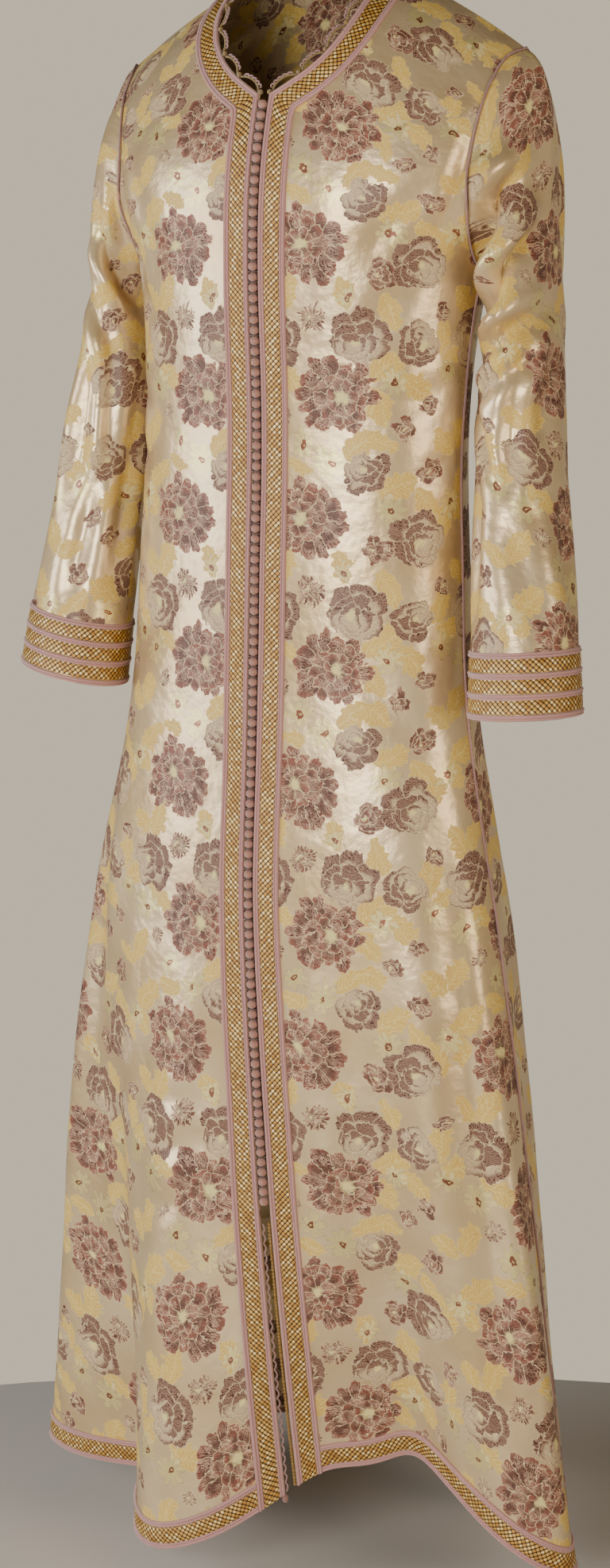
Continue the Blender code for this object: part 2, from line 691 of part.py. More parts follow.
def sleeve(name, side, front, back):
    rings = sleeve_rings(name)
    out = side * grid_normals(rings, closed=True)
    # Rows run down the arm, so the grid's own normals point inwards on the wearer's left.
    out = out * np.sign(dot(out, rings - rings.mean(1, keepdims=True)).mean())
    sheet = Sheet(rings, out, closed=True)
    sheet.build(f"sleeve_{name}")
    cuff_trims(sheet, name)
    armhole_cord(name, sheet, front, back)


def armhole_cord(name, sheet, front, back):
    """Rose cord round the armhole, between the panels' edge and the sleeve's first row."""
    column = -1 if name == "right" else 0
    front_rows = slice(LOW_ROWS, None)
    ahead, ahead_out = front.outer[front_rows, -1], front.out[front_rows, -1]
    behind, behind_out = back.outer[-2 : LOW_ROWS : -1, column], back.out[-2 : LOW_ROWS : -1, column]
    edge, edge_out = np.concatenate([ahead, behind]), np.concatenate([ahead_out, behind_out])
    seam_cord(f"armhole_cord_{name}", edge, sheet.outer[0], edge_out, sheet.out[0], closed=True)


def cuff_trims(sheet, name):
    """Three gold bands between four cords, from the cuff's top line to the sleeve's edge."""
    top, edge = sheet.outer[-2], sheet.outer[-1]
    outs = (sheet.out[-2], sheet.out[-1])
    cord = CORD_WIDTH / CUFF_TRIM_HEIGHT
    space = LIFT / CUFF_TRIM_HEIGHT
    band = (1 - (CUFF_BANDS + 1) * cord) / CUFF_BANDS
    for k in range(CUFF_BANDS + 1):
        start = k * (cord + band)
        part = (start + space / 2, start + cord - space / 2)
        strip(f"cuff_cord_{name}_{k + 1}", top, edge, outs, *part, CORD_THICK, rose(), closed=True)
        if k < CUFF_BANDS:
            part = (start + cord + space / 2, start + cord + band - space / 2)
            strip(f"cuff_gold_{name}_{k + 1}", top, edge, outs, *part, GOLD_THICK, gold(), closed=True)


def closure_line(fronts):
    """The line between the fronts' edges and the way out of it, row by row, bottom to top."""
    middles = [sheet.middle[: LOW_ROWS + V_ROW + 1, 0] for sheet in fronts.values()]
    outs = [sheet.out[: LOW_ROWS + V_ROW + 1, 0] for sheet in fronts.values()]
    return sum(middles) / 2, unit(sum(outs))


def at_heights(line, values, heights):
    """Values given row by row along a line that rises, read at these heights."""
    return np.stack([np.interp(heights, line[:, 2], values[:, k]) for k in range(3)], 1)


def buttons(fronts):
    """Groups of knotted buttons: beads on a cord, each a short barrel between two narrow necks."""
    line, out = closure_line(fronts)
    top = V_BOTTOM_HEIGHT - BUTTON_PITCH
    per_group = int(np.ceil(BUTTON_COUNT / BUTTON_GROUPS))
    heights = top - BUTTON_PITCH * np.arange(BUTTON_COUNT)
    for group in range(BUTTON_GROUPS):
        own = heights[group * per_group : (group + 1) * per_group]
        offsets = np.array([0.46, 0.26, -0.26]) * BUTTON_PITCH
        rings = np.append((own[:, None] + offsets).ravel(), own[-1] - 0.46 * BUTTON_PITCH)
        radii = np.tile([BUTTON_NECK_RADIUS, BUTTON_RADIUS, BUTTON_RADIUS], len(own))
        radii = np.append(radii, BUTTON_NECK_RADIUS)
        path = at_heights(line, line, rings)
        ways = unit(at_heights(line, out, rings))
        points, faces = tube(path + ways * BUTTON_PROUD, radii)
        add_object(f"button_row_{group + 1:02d}", points, faces, rose("knotted_button_thread", BUTTON_ROSE))


def slit_edges(fronts):
    """Loops on the right edge and beads on the left edge, down the open slit."""
    for name, node, finish in (("right", "loop_row_right", rose()), ("left", "bead_row_left", gold())):
        sheet = fronts[name]
        edge = sheet.middle[: LOW_ROWS + V_ROW, 0]
        off = unit(edge - sheet.middle[: LOW_ROWS + V_ROW, 1])
        heights = np.append(edge[edge[:, 2] < SLIT_TOP_HEIGHT - 5 * MM, 2], SLIT_TOP_HEIGHT)
        path = at_heights(edge, edge + off * SLIT_EDGE_REACH, heights)
        points, faces = tube(path, SLIT_EDGE_RADIUS)
        add_object(node, points, faces, finish)
        if name == "right":
            knot(sheet)


def knot(sheet):
    """The small knot that ends the closure, hanging below the corner of the right front."""
    corner = sheet.middle[0, 0]
    heights = np.array([-0.6, -2.5, -5.5, -8.5, -10]) * MM
    radii = np.array([0.8, 2.6, 3.4, 2.4, 0.8]) * MM
    path = corner + heights[:, None] * np.array([0, 0, 1.0])
    points, faces = tube(path, radii)
    add_object("slit_knot", points, faces, rose("knotted_button_thread", BUTTON_ROSE))


def neck_edging(fronts, back):
    corner = LOW_ROWS + V_ROW
    for name, sheet in fronts.items():
        off = unit(sheet.middle[:, 0] - sheet.middle[:, 1])
        edging(f"neck_edging_{name}", sheet.middle[corner:, 0], sheet.out[corner:, 0], off[corner:])
    part = slice(SHOULDER_COLUMNS, SHOULDER_COLUMNS + NECK_COLUMNS + 1)
    off = unit(back.middle[-1] - back.middle[-2])
    edging("neck_edging_back", back.middle[-1, part], back.out[-1, part], off[part])


def main():
    for old in list(bpy.data.objects):
        bpy.data.objects.remove(old, do_unlink=True)
    fronts = {name: body_sheet(*front_grid(side)) for name, side in SIDES.items()}
    for name, sheet in fronts.items():
        sheet.build(f"front_{name}")
        front_trims(sheet, name)
        hem_trims(sheet, name, 1)
    back = body_sheet(*back_grid())
    back.build("back")
    hem_trims(back, "back", 0)
    neck_back_trims(back)
    for name, side in SIDES.items():
        column = -1 if name == "right" else 0
        front = fronts[name]
        lines = [part[1:LOW_ROWS].copy() for part in (front.outer[:, -1], back.outer[:, column])]
        for line in lines:
            line[0] = line[0] + (line[1] - line[0]) * TRIM_END_SHARE
        outs = front.out[1:LOW_ROWS, -1], back.out[1:LOW_ROWS, column]
        seam_cord(f"side_cord_{name}", *lines, *outs)
        sleeve(name, side, front, back)
    buttons(fronts)
    slit_edges(fronts)
    neck_edging(fronts, back)


main()
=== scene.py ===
"""Moroccan kaftan of figured satin brocade, worn open at the neck, cuffs and hem.

The cloth, its woven gold bands, cords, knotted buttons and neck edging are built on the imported
model's own shape. Metres, +Z up; the front faces -Y and the wearer's left is +X.
"""

from collections import namedtuple

import bpy
import numpy as np
from bpy.props import FloatProperty, FloatVectorProperty, PointerProperty
from mathutils import Matrix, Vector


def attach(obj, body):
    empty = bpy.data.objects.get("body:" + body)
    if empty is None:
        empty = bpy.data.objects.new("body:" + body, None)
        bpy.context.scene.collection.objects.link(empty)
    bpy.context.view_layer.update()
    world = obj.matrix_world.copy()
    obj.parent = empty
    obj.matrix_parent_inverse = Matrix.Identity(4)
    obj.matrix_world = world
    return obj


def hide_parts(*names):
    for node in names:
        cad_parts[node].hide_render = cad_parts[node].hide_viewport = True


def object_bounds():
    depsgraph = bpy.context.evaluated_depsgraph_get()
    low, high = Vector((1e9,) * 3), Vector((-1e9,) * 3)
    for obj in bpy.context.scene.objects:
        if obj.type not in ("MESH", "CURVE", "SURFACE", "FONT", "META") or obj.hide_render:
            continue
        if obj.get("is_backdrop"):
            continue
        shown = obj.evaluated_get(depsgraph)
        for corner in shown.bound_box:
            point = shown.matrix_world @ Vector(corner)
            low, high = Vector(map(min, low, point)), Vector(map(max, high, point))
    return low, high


bl_info = {
    "name": "Moroccan kaftan",
    "version": (1, 0, 0),
    "blender": (4, 5, 0),
    "location": "3D View > Sidebar > Kaftan",
    "description": "Builds the cloth, bands, cords, buttons and edging of a moroccan kaftan",
    "category": "Object",
}

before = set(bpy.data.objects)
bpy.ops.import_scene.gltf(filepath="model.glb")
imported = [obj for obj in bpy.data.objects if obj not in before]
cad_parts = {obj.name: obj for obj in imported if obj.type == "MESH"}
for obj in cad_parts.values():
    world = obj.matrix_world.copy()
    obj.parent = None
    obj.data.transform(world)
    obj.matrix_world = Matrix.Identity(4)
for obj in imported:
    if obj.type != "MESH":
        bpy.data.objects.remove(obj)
CAD_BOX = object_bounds()

MM = 0.001

# ---------------------------------------------------------------- the cut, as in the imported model

CAD_WALL = 2.0 * MM
WALL = 1.2 * MM  # satin brocade and its woven backing
SEAM_GAP = 0.3 * MM
LIFT = 0.3 * MM  # between a panel and what is sewn on it
TRIM_WIDTH = 26 * MM
CORD_WIDTH = 5.5 * MM
EDGE_HALF_GAP = 4.8 * MM
BUTTON_PITCH = 9.2 * MM
BUTTON_COUNT = 108
BUTTON_PROUD = 1.5 * MM
SCALLOP_PITCH = 30 * MM
CUFF_BANDS = 3
CUFF_TRIM_HEIGHT = 58 * MM
V_BOTTOM_HEIGHT = -0.078
V_HALF_ANGLE = np.radians(32.5)
SLIT_TOP_HEIGHT = -1.085
RIDGE_FALL, RIDGE_CURVE = 0.25, 1.15
SHOULDER_INSET = 0.6 * MM

# Levels of the body from the hem up. side_x and side_y say where the line between the side seams
# lies, front and back are the depths from it, square fills out the corners of the ellipse, slope
# is the share of the shoulders' slope that the level follows, and sway is how far the closure
# swings to the wearer's left.
Level = namedtuple("Level", "height half_width side_x side_y front back square slope sway")
LEVELS = [
    Level(-1.400, 0.270, -0.028, -0.010, 0.122, 0.188, 0.03, 0.0, 0.054),  # hem
    Level(-1.200, 0.254, -0.028, -0.016, 0.118, 0.176, 0.03, 0.0, 0.042),
    Level(-1.000, 0.234, -0.026, -0.022, 0.108, 0.160, 0.03, 0.0, 0.027),
    Level(-0.800, 0.206, -0.020, -0.026, 0.096, 0.142, 0.03, 0.0, 0.009),
    Level(-0.630, 0.173, -0.013, -0.027, 0.086, 0.120, 0.03, 0.0, 0.002),  # hips
    Level(-0.480, 0.162, -0.009, -0.027, 0.084, 0.098, 0.03, 0.0, 0.0),
    Level(-0.350, 0.158, -0.006, -0.025, 0.088, 0.088, 0.03, 0.0, 0.0),  # waist
    Level(-0.228, 0.168, -0.003, -0.015, 0.109, 0.096, 0.03, 0.0, 0.0),  # underarm
    Level(-0.140, 0.199, 0.000, -0.007, 0.117, 0.102, 0.03, 0.25, 0.0),  # chest
    Level(-0.060, 0.216, 0.000, -0.002, 0.101, 0.096, 0.03, 0.6, 0.0),
    Level(0.000, 0.220, 0.000, 0.000, 0.077, 0.078, 0.02, 0.9, 0.0),
    Level(0.035, 0.220, 0.000, 0.000, 0.041, 0.042, 0.0, 1.0, 0.0),
    Level(0.050, 0.220, 0.000, 0.000, 0.000, 0.000, 0.0, 1.0, 0.0),  # shoulder ridge
]
UNDERARM = 7
RIDGE = len(LEVELS) - 1

# Folds of the skirt: the angle round the body from centre front, how far the cloth moves out at
# the hem, the height where the fold dies out and how much it raises the hem.
Fold = namedtuple("Fold", "angle width depth top lift")
FOLDS = [
    Fold(5, 13, -0.018, -0.85, 0.034),  # edge of the valley, at the closure
    Fold(32, 23, -0.074, -0.72, 0.072),  # valley to the wearer's left of the closure
    Fold(77, 19, 0.026, -0.80, -0.012),  # wearer's left side flute
    Fold(106, 15, -0.018, -0.80, 0.000),
    Fold(132, 17, 0.016, -0.70, -0.012),
    Fold(160, 13, -0.024, -0.75, 0.000),
    Fold(-174, 15, 0.026, -0.65, -0.012),
    Fold(-144, 14, -0.022, -0.70, 0.000),
    Fold(-116, 15, 0.012, -0.70, 0.000),
    Fold(-84, 15, 0.020, -0.80, 0.008),  # wearer's right side flute
    Fold(-50, 15, -0.055, -0.72, 0.004),
    Fold(-21, 14, 0.046, -0.78, -0.024),  # wearer's right front flute
]
FOLD_POWER = 1.4
CENTRE_LIFT = 0.010

Neck = namedtuple("Neck", "half_breadth height")
NECK_FRONT = [
    Neck(EDGE_HALF_GAP, V_BOTTOM_HEIGHT),
    Neck(0.021, -0.068),
    Neck(0.037, -0.057),
    Neck(0.051, -0.043),
    Neck(0.062, -0.025),
    Neck(0.069, -0.003),
    Neck(0.072, 0.026),
]
NECK_HALF_BREADTH = 0.072
NECK_BACK_LEVEL = 10.45
ARMHOLE_SCOOP_FRONT, ARMHOLE_SCOOP_BACK, ARMHOLE_TOP = np.radians((26, 19, 26))

# Rings of a sleeve below the underarm: height, place across and front to back, half width and
# half depth, and how far the outer side rises for each metre of breadth.
Ring = namedtuple("Ring", "height x y half_width half_depth tilt")
RINGS = {
    "left": [
        Ring(-0.262, 0.2010, 0.000, 0.0235, 0.060, 0.00),  # upper arm
        Ring(-0.314, 0.1975, 0.002, 0.0320, 0.056, 0.00),
        Ring(-0.366, 0.1990, 0.000, 0.0355, 0.052, 0.01),  # elbow
        Ring(-0.432, 0.2065, -0.014, 0.0385, 0.048, 0.02),
        Ring(-0.498, 0.2155, -0.030, 0.0430, 0.047, 0.04),
        Ring(-0.556, 0.2240, -0.043, 0.0465, 0.046, 0.06),  # top of the cuff
        Ring(-0.614, 0.2314, -0.056, 0.0490, 0.046, 0.06),  # edge of the cuff
    ],
    "right": [
        Ring(-0.258, 0.2050, -0.006, 0.0245, 0.060, 0.00),
        Ring(-0.305, 0.2040, -0.016, 0.0330, 0.056, 0.02),
        Ring(-0.360, 0.2110, -0.024, 0.0365, 0.052, 0.06),
        Ring(-0.425, 0.2190, -0.032, 0.0390, 0.048, 0.12),
        Ring(-0.490, 0.2270, -0.044, 0.0430, 0.047, 0.18),
        Ring(-0.545, 0.2310, -0.055, 0.0465, 0.046, 0.22),
        Ring(-0.602, 0.2340, -0.066, 0.0490, 0.046, 0.22),
    ],
}
CAP_FULLNESS = 0.55
SIDES = {"right": -1, "left": 1}

# ---------------------------------------------------------------- creases, worn into the cloth

# A crease of the body runs between two places, each an angle in degrees round from centre front
# and a height. width is half its breadth and depth how far it sinks; a negative depth stands out.
Crease = namedtuple("Crease", "angle_a height_a angle_b height_b width depth")
BODY_CREASES = [
    Crease(*row)
    for row in (
        # drawn from the bust and the armholes
        (-52, -0.06, -57, -0.19, 0.011, 0.0042),
        (-47, -0.1, -40, -0.24, 0.016, 0.0022),
        (54, -0.075, 58, -0.2, 0.011, 0.0036),
        (50, -0.15, 34, -0.215, 0.012, 0.002),
        (60, -0.215, 30, -0.3, 0.014, 0.0024),
        (-62, -0.23, -36, -0.3, 0.013, 0.0022),
        (18, -0.13, 30, -0.26, 0.02, -0.0016),
        # across the waist and the hips
        (-75, -0.33, -42, -0.365, 0.011, 0.002),
        (-80, -0.39, -48, -0.4, 0.01, 0.0016),
        (42, -0.35, 78, -0.33, 0.011, 0.0022),
        (48, -0.42, 82, -0.39, 0.012, 0.0018),
        (-30, -0.52, -66, -0.6, 0.022, 0.0024),
        (25, -0.56, 60, -0.64, 0.024, 0.0026),
        # long soft ones down the skirt
        (-64, -0.64, -60, -1.25, 0.02, 0.006),
        (-76, -0.76, -74, -1.38, 0.016, -0.0036),
        (-40, -0.8, -37, -1.36, 0.018, -0.0044),
        (-9, -0.9, -12, -1.33, 0.022, 0.003),
        (16, -0.78, 14, -1.18, 0.017, -0.0026),
        (44, -0.82, 47, -1.34, 0.022, -0.005),
        (60, -0.7, 63, -1.3, 0.02, 0.0046),
        (71, -0.9, 76, -1.39, 0.018, -0.0032),
        # short drag lines beside the closure
        (-8, -1.01, -30, -1.045, 0.011, 0.0034),
        (-7, -0.975, -24, -0.99, 0.009, 0.0024),
        (-9, -1.055, -26, -1.1, 0.012, 0.0026),
        (9, -1.03, 26, -1.08, 0.014, 0.0022),
        # the back
        (150, -0.09, 176, -0.15, 0.015, 0.0028),
        (-152, -0.1, -170, -0.2, 0.016, 0.003),
        (125, -0.18, 150, -0.29, 0.014, 0.003),
        (-122, -0.19, -150, -0.28, 0.013, 0.0028),
        (140, -0.33, 178, -0.36, 0.013, 0.0026),
        (-135, -0.38, -172, -0.35, 0.012, 0.0024),
        (120, -0.52, 128, -1.05, 0.022, 0.005),
        (147, -0.6, 150, -1.3, 0.022, -0.0046),
        (172, -0.56, 176, -1.12, 0.024, 0.005),
        (-160, -0.64, -158, -1.33, 0.02, -0.0044),
        (-130, -0.58, -128, -1.2, 0.024, 0.0052),
        (-104, -0.7, -101, -1.28, 0.02, 0.004),
        (112, -0.76, 114, -1.32, 0.018, -0.0036),
    )
]
# A crease of a sleeve: turn is in degrees round the arm, 0 against the body, 90 at the front.
SLEEVE_CREASES = {
    "left": (
        (138, -0.146, 2, -0.238, 0.011, 0.023),  # deep fold from the armpit
        (150, -0.122, 30, -0.178, 0.012, -0.008),
        (166, -0.17, 20, -0.262, 0.009, -0.008),
        (176, -0.186, 20, -0.292, 0.009, 0.012),
        (196, -0.238, 14, -0.29, 0.009, -0.005),
        (190, -0.255, 10, -0.32, 0.01, 0.007),
        (160, -0.295, 20, -0.35, 0.009, 0.005),
        (165, -0.285, 122, -0.352, 0.008, -0.006),  # over the elbow
        (182, -0.3, 140, -0.38, 0.011, 0.005),
        (120, -0.33, 96, -0.43, 0.011, 0.0056),
        (30, -0.32, 84, -0.42, 0.009, 0.007),
        (52, -0.39, 46, -0.54, 0.009, 0.0046),
        (100, -0.43, 134, -0.54, 0.015, 0.0034),
        (176, -0.41, 184, -0.55, 0.013, 0.004),
        (230, -0.23, 320, -0.34, 0.012, 0.006),
        (240, -0.32, 330, -0.39, 0.011, 0.0056),
        (240, -0.41, 250, -0.55, 0.014, 0.004),
        (210, -0.09, 228, -0.24, 0.013, 0.004),
        (128, -0.04, 118, -0.14, 0.013, 0.0024),
    ),
    "right": (
        (110, -0.06, 34, -0.24, 0.01, 0.0084),
        (134, -0.08, 96, -0.26, 0.011, -0.005),
        (92, -0.19, 10, -0.27, 0.0095, 0.009),
        (110, -0.2, 40, -0.27, 0.008, -0.0044),
        (140, -0.22, 50, -0.31, 0.011, 0.005),
        (66, -0.27, 48, -0.43, 0.01, 0.0066),
        (88, -0.29, 98, -0.45, 0.013, 0.0046),
        (112, -0.31, 128, -0.49, 0.013, -0.004),
        (66, -0.4, 78, -0.545, 0.011, 0.0046),
        (26, -0.33, 24, -0.53, 0.011, 0.005),
        (150, -0.24, 158, -0.43, 0.014, 0.0042),
        (230, -0.24, 310, -0.33, 0.012, 0.006),
        (245, -0.33, 325, -0.38, 0.011, 0.0054),
        (238, -0.39, 246, -0.53, 0.015, 0.004),
        (205, -0.09, 222, -0.23, 0.013, 0.0042),
    ),
}
SLEEVE_CREASES = {
    name: [Crease(*row) for row in rows] for name, rows in SLEEVE_CREASES.items()
}
BODY_REACH = 0.19  # metres for each radian round the body, for a crease's breadth
SLEEVE_REACH = 0.05
RIPPLE_HEIGHT = 0.22 * MM
CALM_ROWS_CAP, CALM_ROWS_CUFF = 9, 8  # over which a sleeve's creases fade at its ends

# ---------------------------------------------------------------- thread work

SEAM_CORD_RADIUS = 1.1 * MM
LOOP_THREAD_RADIUS = 0.6 * MM  # between the buttons
LOOP_THREAD_SPREAD, LOOP_THREAD_RISE = 6.4 * MM, 3.4 * MM
# The slit's rows: pitch, points for each pitch, least reach off the edge and how much it swells,
# least radius and how much it swells.
EdgeRow = namedtuple("EdgeRow", "front node thread slot pitch steps reach swing radius swell")
EDGE_ROWS = (
    EdgeRow("right", "loop_row_right", "cord", "rose_silk_cord", BUTTON_PITCH, 10, 1.1, 2.2, 0.8, 0),
    EdgeRow("left", "bead_row_left", "gold", "woven_gold_thread", 3.4 * MM, 6, 1.9, 0, 0.75, 0.85),
)
KNOT_TOP, KNOT_LENGTH, KNOT_RADIUS, KNOT_WAIST = 0.4, 9.4, 3.0, 0.35  # millimetres, and a share
EDGE_END = 2 * MM  # from the end of a neck edge to its first arch
ARCH_FOOT = 0.6 * MM
CHAIN_RADIUS, CHAIN_SWELL, CHAIN_STITCHES = 1.0 * MM, 0.3 * MM, 11
PICOT_RADIUS, PICOT_BASE, PICOT_RISE, PICOTS = 0.85 * MM, 1.0 * MM, 1.7 * MM, 5

# ---------------------------------------------------------------- fine grids

LOW_ROWS = 145  # from the hem to the underarm
FIRST_ROW_LEVEL = 0.42
V_ROW = 16
ARMHOLE_STEPS = 48
FRONT_COLUMNS = 74
SHOULDER_COLUMNS, NECK_COLUMNS = 34, 56
HEM_PARTS, BAND_PARTS = 6, 8
CAP_STEPS, RING_STEPS = 42, 11
TINY = 1e-3


def along(values, place):
    """Smooth (Catmull-Rom) curve through evenly numbered values, read at place."""
    values = np.asarray(values, float)
    values = np.concatenate([[2 * values[0] - values[1]], values, [2 * values[-1] - values[-2]]])
    first = np.clip(np.floor(place).astype(int), 0, len(values) - 4)
    t = place - first
    if values.ndim > 1:
        t = t[..., None]
    a, b, c, d = (values[first + i] for i in range(4))
    curve = t**2 * (a - 2.5 * b + 2 * c - d / 2) + t**3 * (1.5 * (b - c) + (d - a) / 2)
    return b + t * (c - a) / 2 + curve


def level_value(name, level):
    """A column of the levels' table, read smoothly at a level."""
    return along([getattr(row, name) for row in LEVELS], level)


def ridge_fall(x):
    """How far the shoulder ridge lies below its top at this breadth."""
    return RIDGE_FALL * np.sqrt(x**2 + 0.02**2) - RIDGE_FALL * 0.02 + RIDGE_CURVE * x**2


def turn_between(angle, centre):
    """The turn from centre to angle, from -pi to pi."""
    return (angle - centre + np.pi) % (2 * np.pi) - np.pi


def unit(vectors):
    """Vectors of length one."""
    return vectors / np.maximum(np.linalg.norm(vectors, axis=-1, keepdims=True), 1e-12)


def dot(a, b):
    """Dot product of each pair of vectors."""
    return (a * b).sum(-1)


def run(path):
    """Length along a path up to each of its points."""
    return np.concatenate([[0], np.cumsum(np.linalg.norm(np.diff(path, axis=0), axis=1))])


def body(angle, level):
    """Point of the body cloth before its creases.

    A squared ellipse at the level's size, moved out by the folds, which grow towards the hem as
    bell curves round the body, and let down along the shoulder slope.
    """
    angle, level = np.broadcast_arrays(np.asarray(angle, float), np.asarray(level, float))
    height = level_value("height", level)
    ahead = np.cos(angle) > 0
    depth = np.where(ahead, level_value("front", level), level_value("back", level))
    fill = 1 + level_value("square", level) * np.sin(2 * angle) ** 2
    out = np.zeros(angle.shape)
    lift = CENTRE_LIFT * np.cos(angle / 2) ** 8
    for fold in FOLDS:
        share = np.clip((fold.top - height) / (fold.top - LEVELS[0].height), 0, None) ** FOLD_POWER
        turned = turn_between(angle, np.radians(fold.angle)) / np.radians(fold.width)
        bell = np.exp(-(turned**2))
        out = out + fold.depth * share * bell
        lift = lift + fold.lift * bell
    low = np.clip(1 - level / 3.0, 0, None) ** 2
    half_width = level_value("half_width", level) * fill + out
    x = level_value("side_x", level) + np.sin(angle) * half_width
    x = x + level_value("sway", level) * np.cos(angle / 2) ** 4
    y = level_value("side_y", level) - np.cos(angle) * (depth * fill + out)
    z = height - level_value("slope", level) * ridge_fall(x) + lift * low
    return np.stack([x, y, z], -1)


def slopes(surface, angle, level):
    """A surface's slopes round and up, from small central differences."""
    round_way = (surface(angle + TINY, level) - surface(angle - TINY, level)) / (2 * TINY)
    up_way = (surface(angle, level + TINY) - surface(angle, level - TINY)) / (2 * TINY)
    return round_way, up_way


def normal(surface, angle, level):
    """The way out of a surface: square to both its slopes."""
    return unit(np.cross(*slopes(surface, angle, level)))


def sunk(creases, turn, height, reach):
    """How far creases sink the cloth here.

    Each is a bell curve of the distance to its line, with a low ridge on each side, and fades
    in and out as a half sine along it.
    """
    depth = np.zeros(np.shape(turn))
    for crease in creases:
        across = turn_between(turn, np.radians(crease.angle_a)) * reach
        up = height - crease.height_a
        run = np.radians(crease.angle_b - crease.angle_a) * reach
        rise = crease.height_b - crease.height_a
        length = np.hypot(run, rise)
        place = (across * run + up * rise) / length**2
        off = (across * rise - up * run) / length
        fade = np.sin(np.pi * np.clip(place, 0, 1)) ** 0.8
        bell = np.exp(-((off / crease.width) ** 2))
        ridge = np.exp(-(((np.abs(off) - 1.9 * crease.width) / crease.width) ** 2))
        depth = depth + crease.depth * fade * (bell - 0.35 * ridge)
    return depth


def ripple(turn, height):
    """Slight unevenness of hanging cloth: a sum of four slanting sines of different lengths."""
    waves = ((31, 9, 0.3), (17, -23, 1.7), (53, 14, 4.1), (24, 41, 2.2))
    return sum(np.sin(a * turn * 0.2 + b * height + c) for a, b, c in waves) * RIPPLE_HEIGHT


def cloth(angle, level):
    """Point of the body cloth, creased: the body's point moved in by the creases' depth."""
    smooth = body(angle, level)
    height = smooth[..., 2]
    depth = sunk(BODY_CREASES, np.broadcast_to(angle, height.shape), height, BODY_REACH)
    fade = np.clip((RIDGE - np.asarray(level)) / 2.5, 0, 1)
    depth = (depth - ripple(np.asarray(angle), height)) * fade
    return smooth - normal(body, angle, level) * depth[..., None]


def step(angle, level, move):
    """Place on the body after a move in metres along it, in four short steps."""
    for _ in range(4):
        a, b = slopes(body, angle, level)
        aa, ab, bb = dot(a, a), dot(a, b), dot(b, b)
        am, bm = dot(a, move) / 4, dot(b, move) / 4
        scale = aa * bb - ab**2
        angle = angle + (am * bb - bm * ab) / scale
        level = level + (bm * aa - am * ab) / scale
    return angle, level


def find(x, height, side):
    """Angle and level of the front's point at breadth x and this height, by repeated trial."""
    levels = np.linspace(0, RIDGE, 600)
    level = np.full(np.shape(x), 9.0)
    for _ in range(12):
        flat = height + level_value("slope", level) * ridge_fall(x)
        level = np.interp(flat, level_value("height", levels), levels)
    return side * np.arcsin(x / level_value("half_width", level)), level


def level_at(height):
    """The level whose height this is, where there is no shoulder slope."""
    levels = np.linspace(0, RIDGE, 600)
    return np.interp(height, level_value("height", levels), levels)


def top_level(angle):
    """Level where a panel ends at the shoulder seam, the inset away from the ridge."""
    return RIDGE - SHOULDER_INSET / (LEVELS[-2].front * np.abs(np.cos(angle)))


def armhole(turn, side, behind):
    """Angle and level along half an armhole: turn 0 is the underarm and pi the shoulder.

    The level rises as 1 - cos(turn / 2), and the edge is scooped in from the side line by a sine.
    """
    rise = 1 - np.cos(turn / 2)
    scoop = ARMHOLE_SCOOP_BACK if behind else ARMHOLE_SCOOP_FRONT
    cut = scoop * np.sin(turn) + ARMHOLE_TOP * rise
    level = UNDERARM + (top_level(np.pi / 2 - ARMHOLE_TOP) - UNDERARM) * rise
    gap = (SEAM_GAP / 2) / level_value("half_width", level) * (1 - rise)
    quarter = np.pi / 2 + cut + gap if behind else np.pi / 2 - cut - gap
    return side * quarter, level


def side_seam(level, side, behind):
    """Angle of a panel's edge at the side seam: a quarter turn, half the seam's gap away."""
    gap = (SEAM_GAP / 2) / level_value("half_width", level)
    return side * (np.pi / 2 + (gap if behind else -gap))


def low_levels():
    """Even rows from the top of the hem band to the underarm."""
    return np.linspace(FIRST_ROW_LEVEL, UNDERARM, LOW_ROWS - 1)


def front_edge(side):
    """Angle and level of each row's inner end: up centre front, then round the neck."""
    v_level = level_at(V_BOTTOM_HEIGHT)
    armhole_part = np.linspace(UNDERARM, v_level, V_ROW + 1)[1:]
    straight = np.concatenate([[0.0, FIRST_ROW_LEVEL / 3], low_levels(), armhole_part])
    angle = side * np.arcsin(EDGE_HALF_GAP / level_value("half_width", straight))
    places = np.linspace(0, len(NECK_FRONT) - 1, ARMHOLE_STEPS - V_ROW + 1)[1:]
    neck = along([tuple(point) for point in NECK_FRONT], places)
    neck_angle, neck_level = find(neck[:, 0], neck[:, 1], side)
    neck_level[-1] = top_level(neck_angle[-1])
    return np.concatenate([angle, neck_angle]), np.concatenate([straight, neck_level])


def band_edge(angle, level, side, corner):
    """The line one trim width in from an edge, mitred where the edge turns at its corner row."""
    points = body(angle, level)
    steps = np.diff(points, axis=0)
    below = unit(np.concatenate([steps[:1], steps]))
    above = unit(np.concatenate([steps, steps[-1:]]))
    way = unit(below + above)
    inward = side * unit(np.cross(way, normal(body, angle, level)))
    lengths = run(points)
    lengths = lengths - lengths[corner]
    slide = np.sign(lengths) * TRIM_WIDTH * np.tan(V_HALF_ANGLE) * np.exp(-np.abs(lengths) / 0.03)
    move = inward * TRIM_WIDTH + way * slide[:, None]
    move[corner] = inward[corner] * TRIM_WIDTH / np.cos(V_HALF_ANGLE)
    return step(angle, level, move)


def up_from_hem(angle):
    """The line one trim width above the hem."""
    zero = np.zeros(angle.shape)
    round_way, up_way = slopes(body, angle, zero)
    along_hem = unit(round_way)
    up = unit(up_way - along_hem * dot(up_way, along_hem)[:, None])
    return step(angle, zero, up * TRIM_WIDTH)


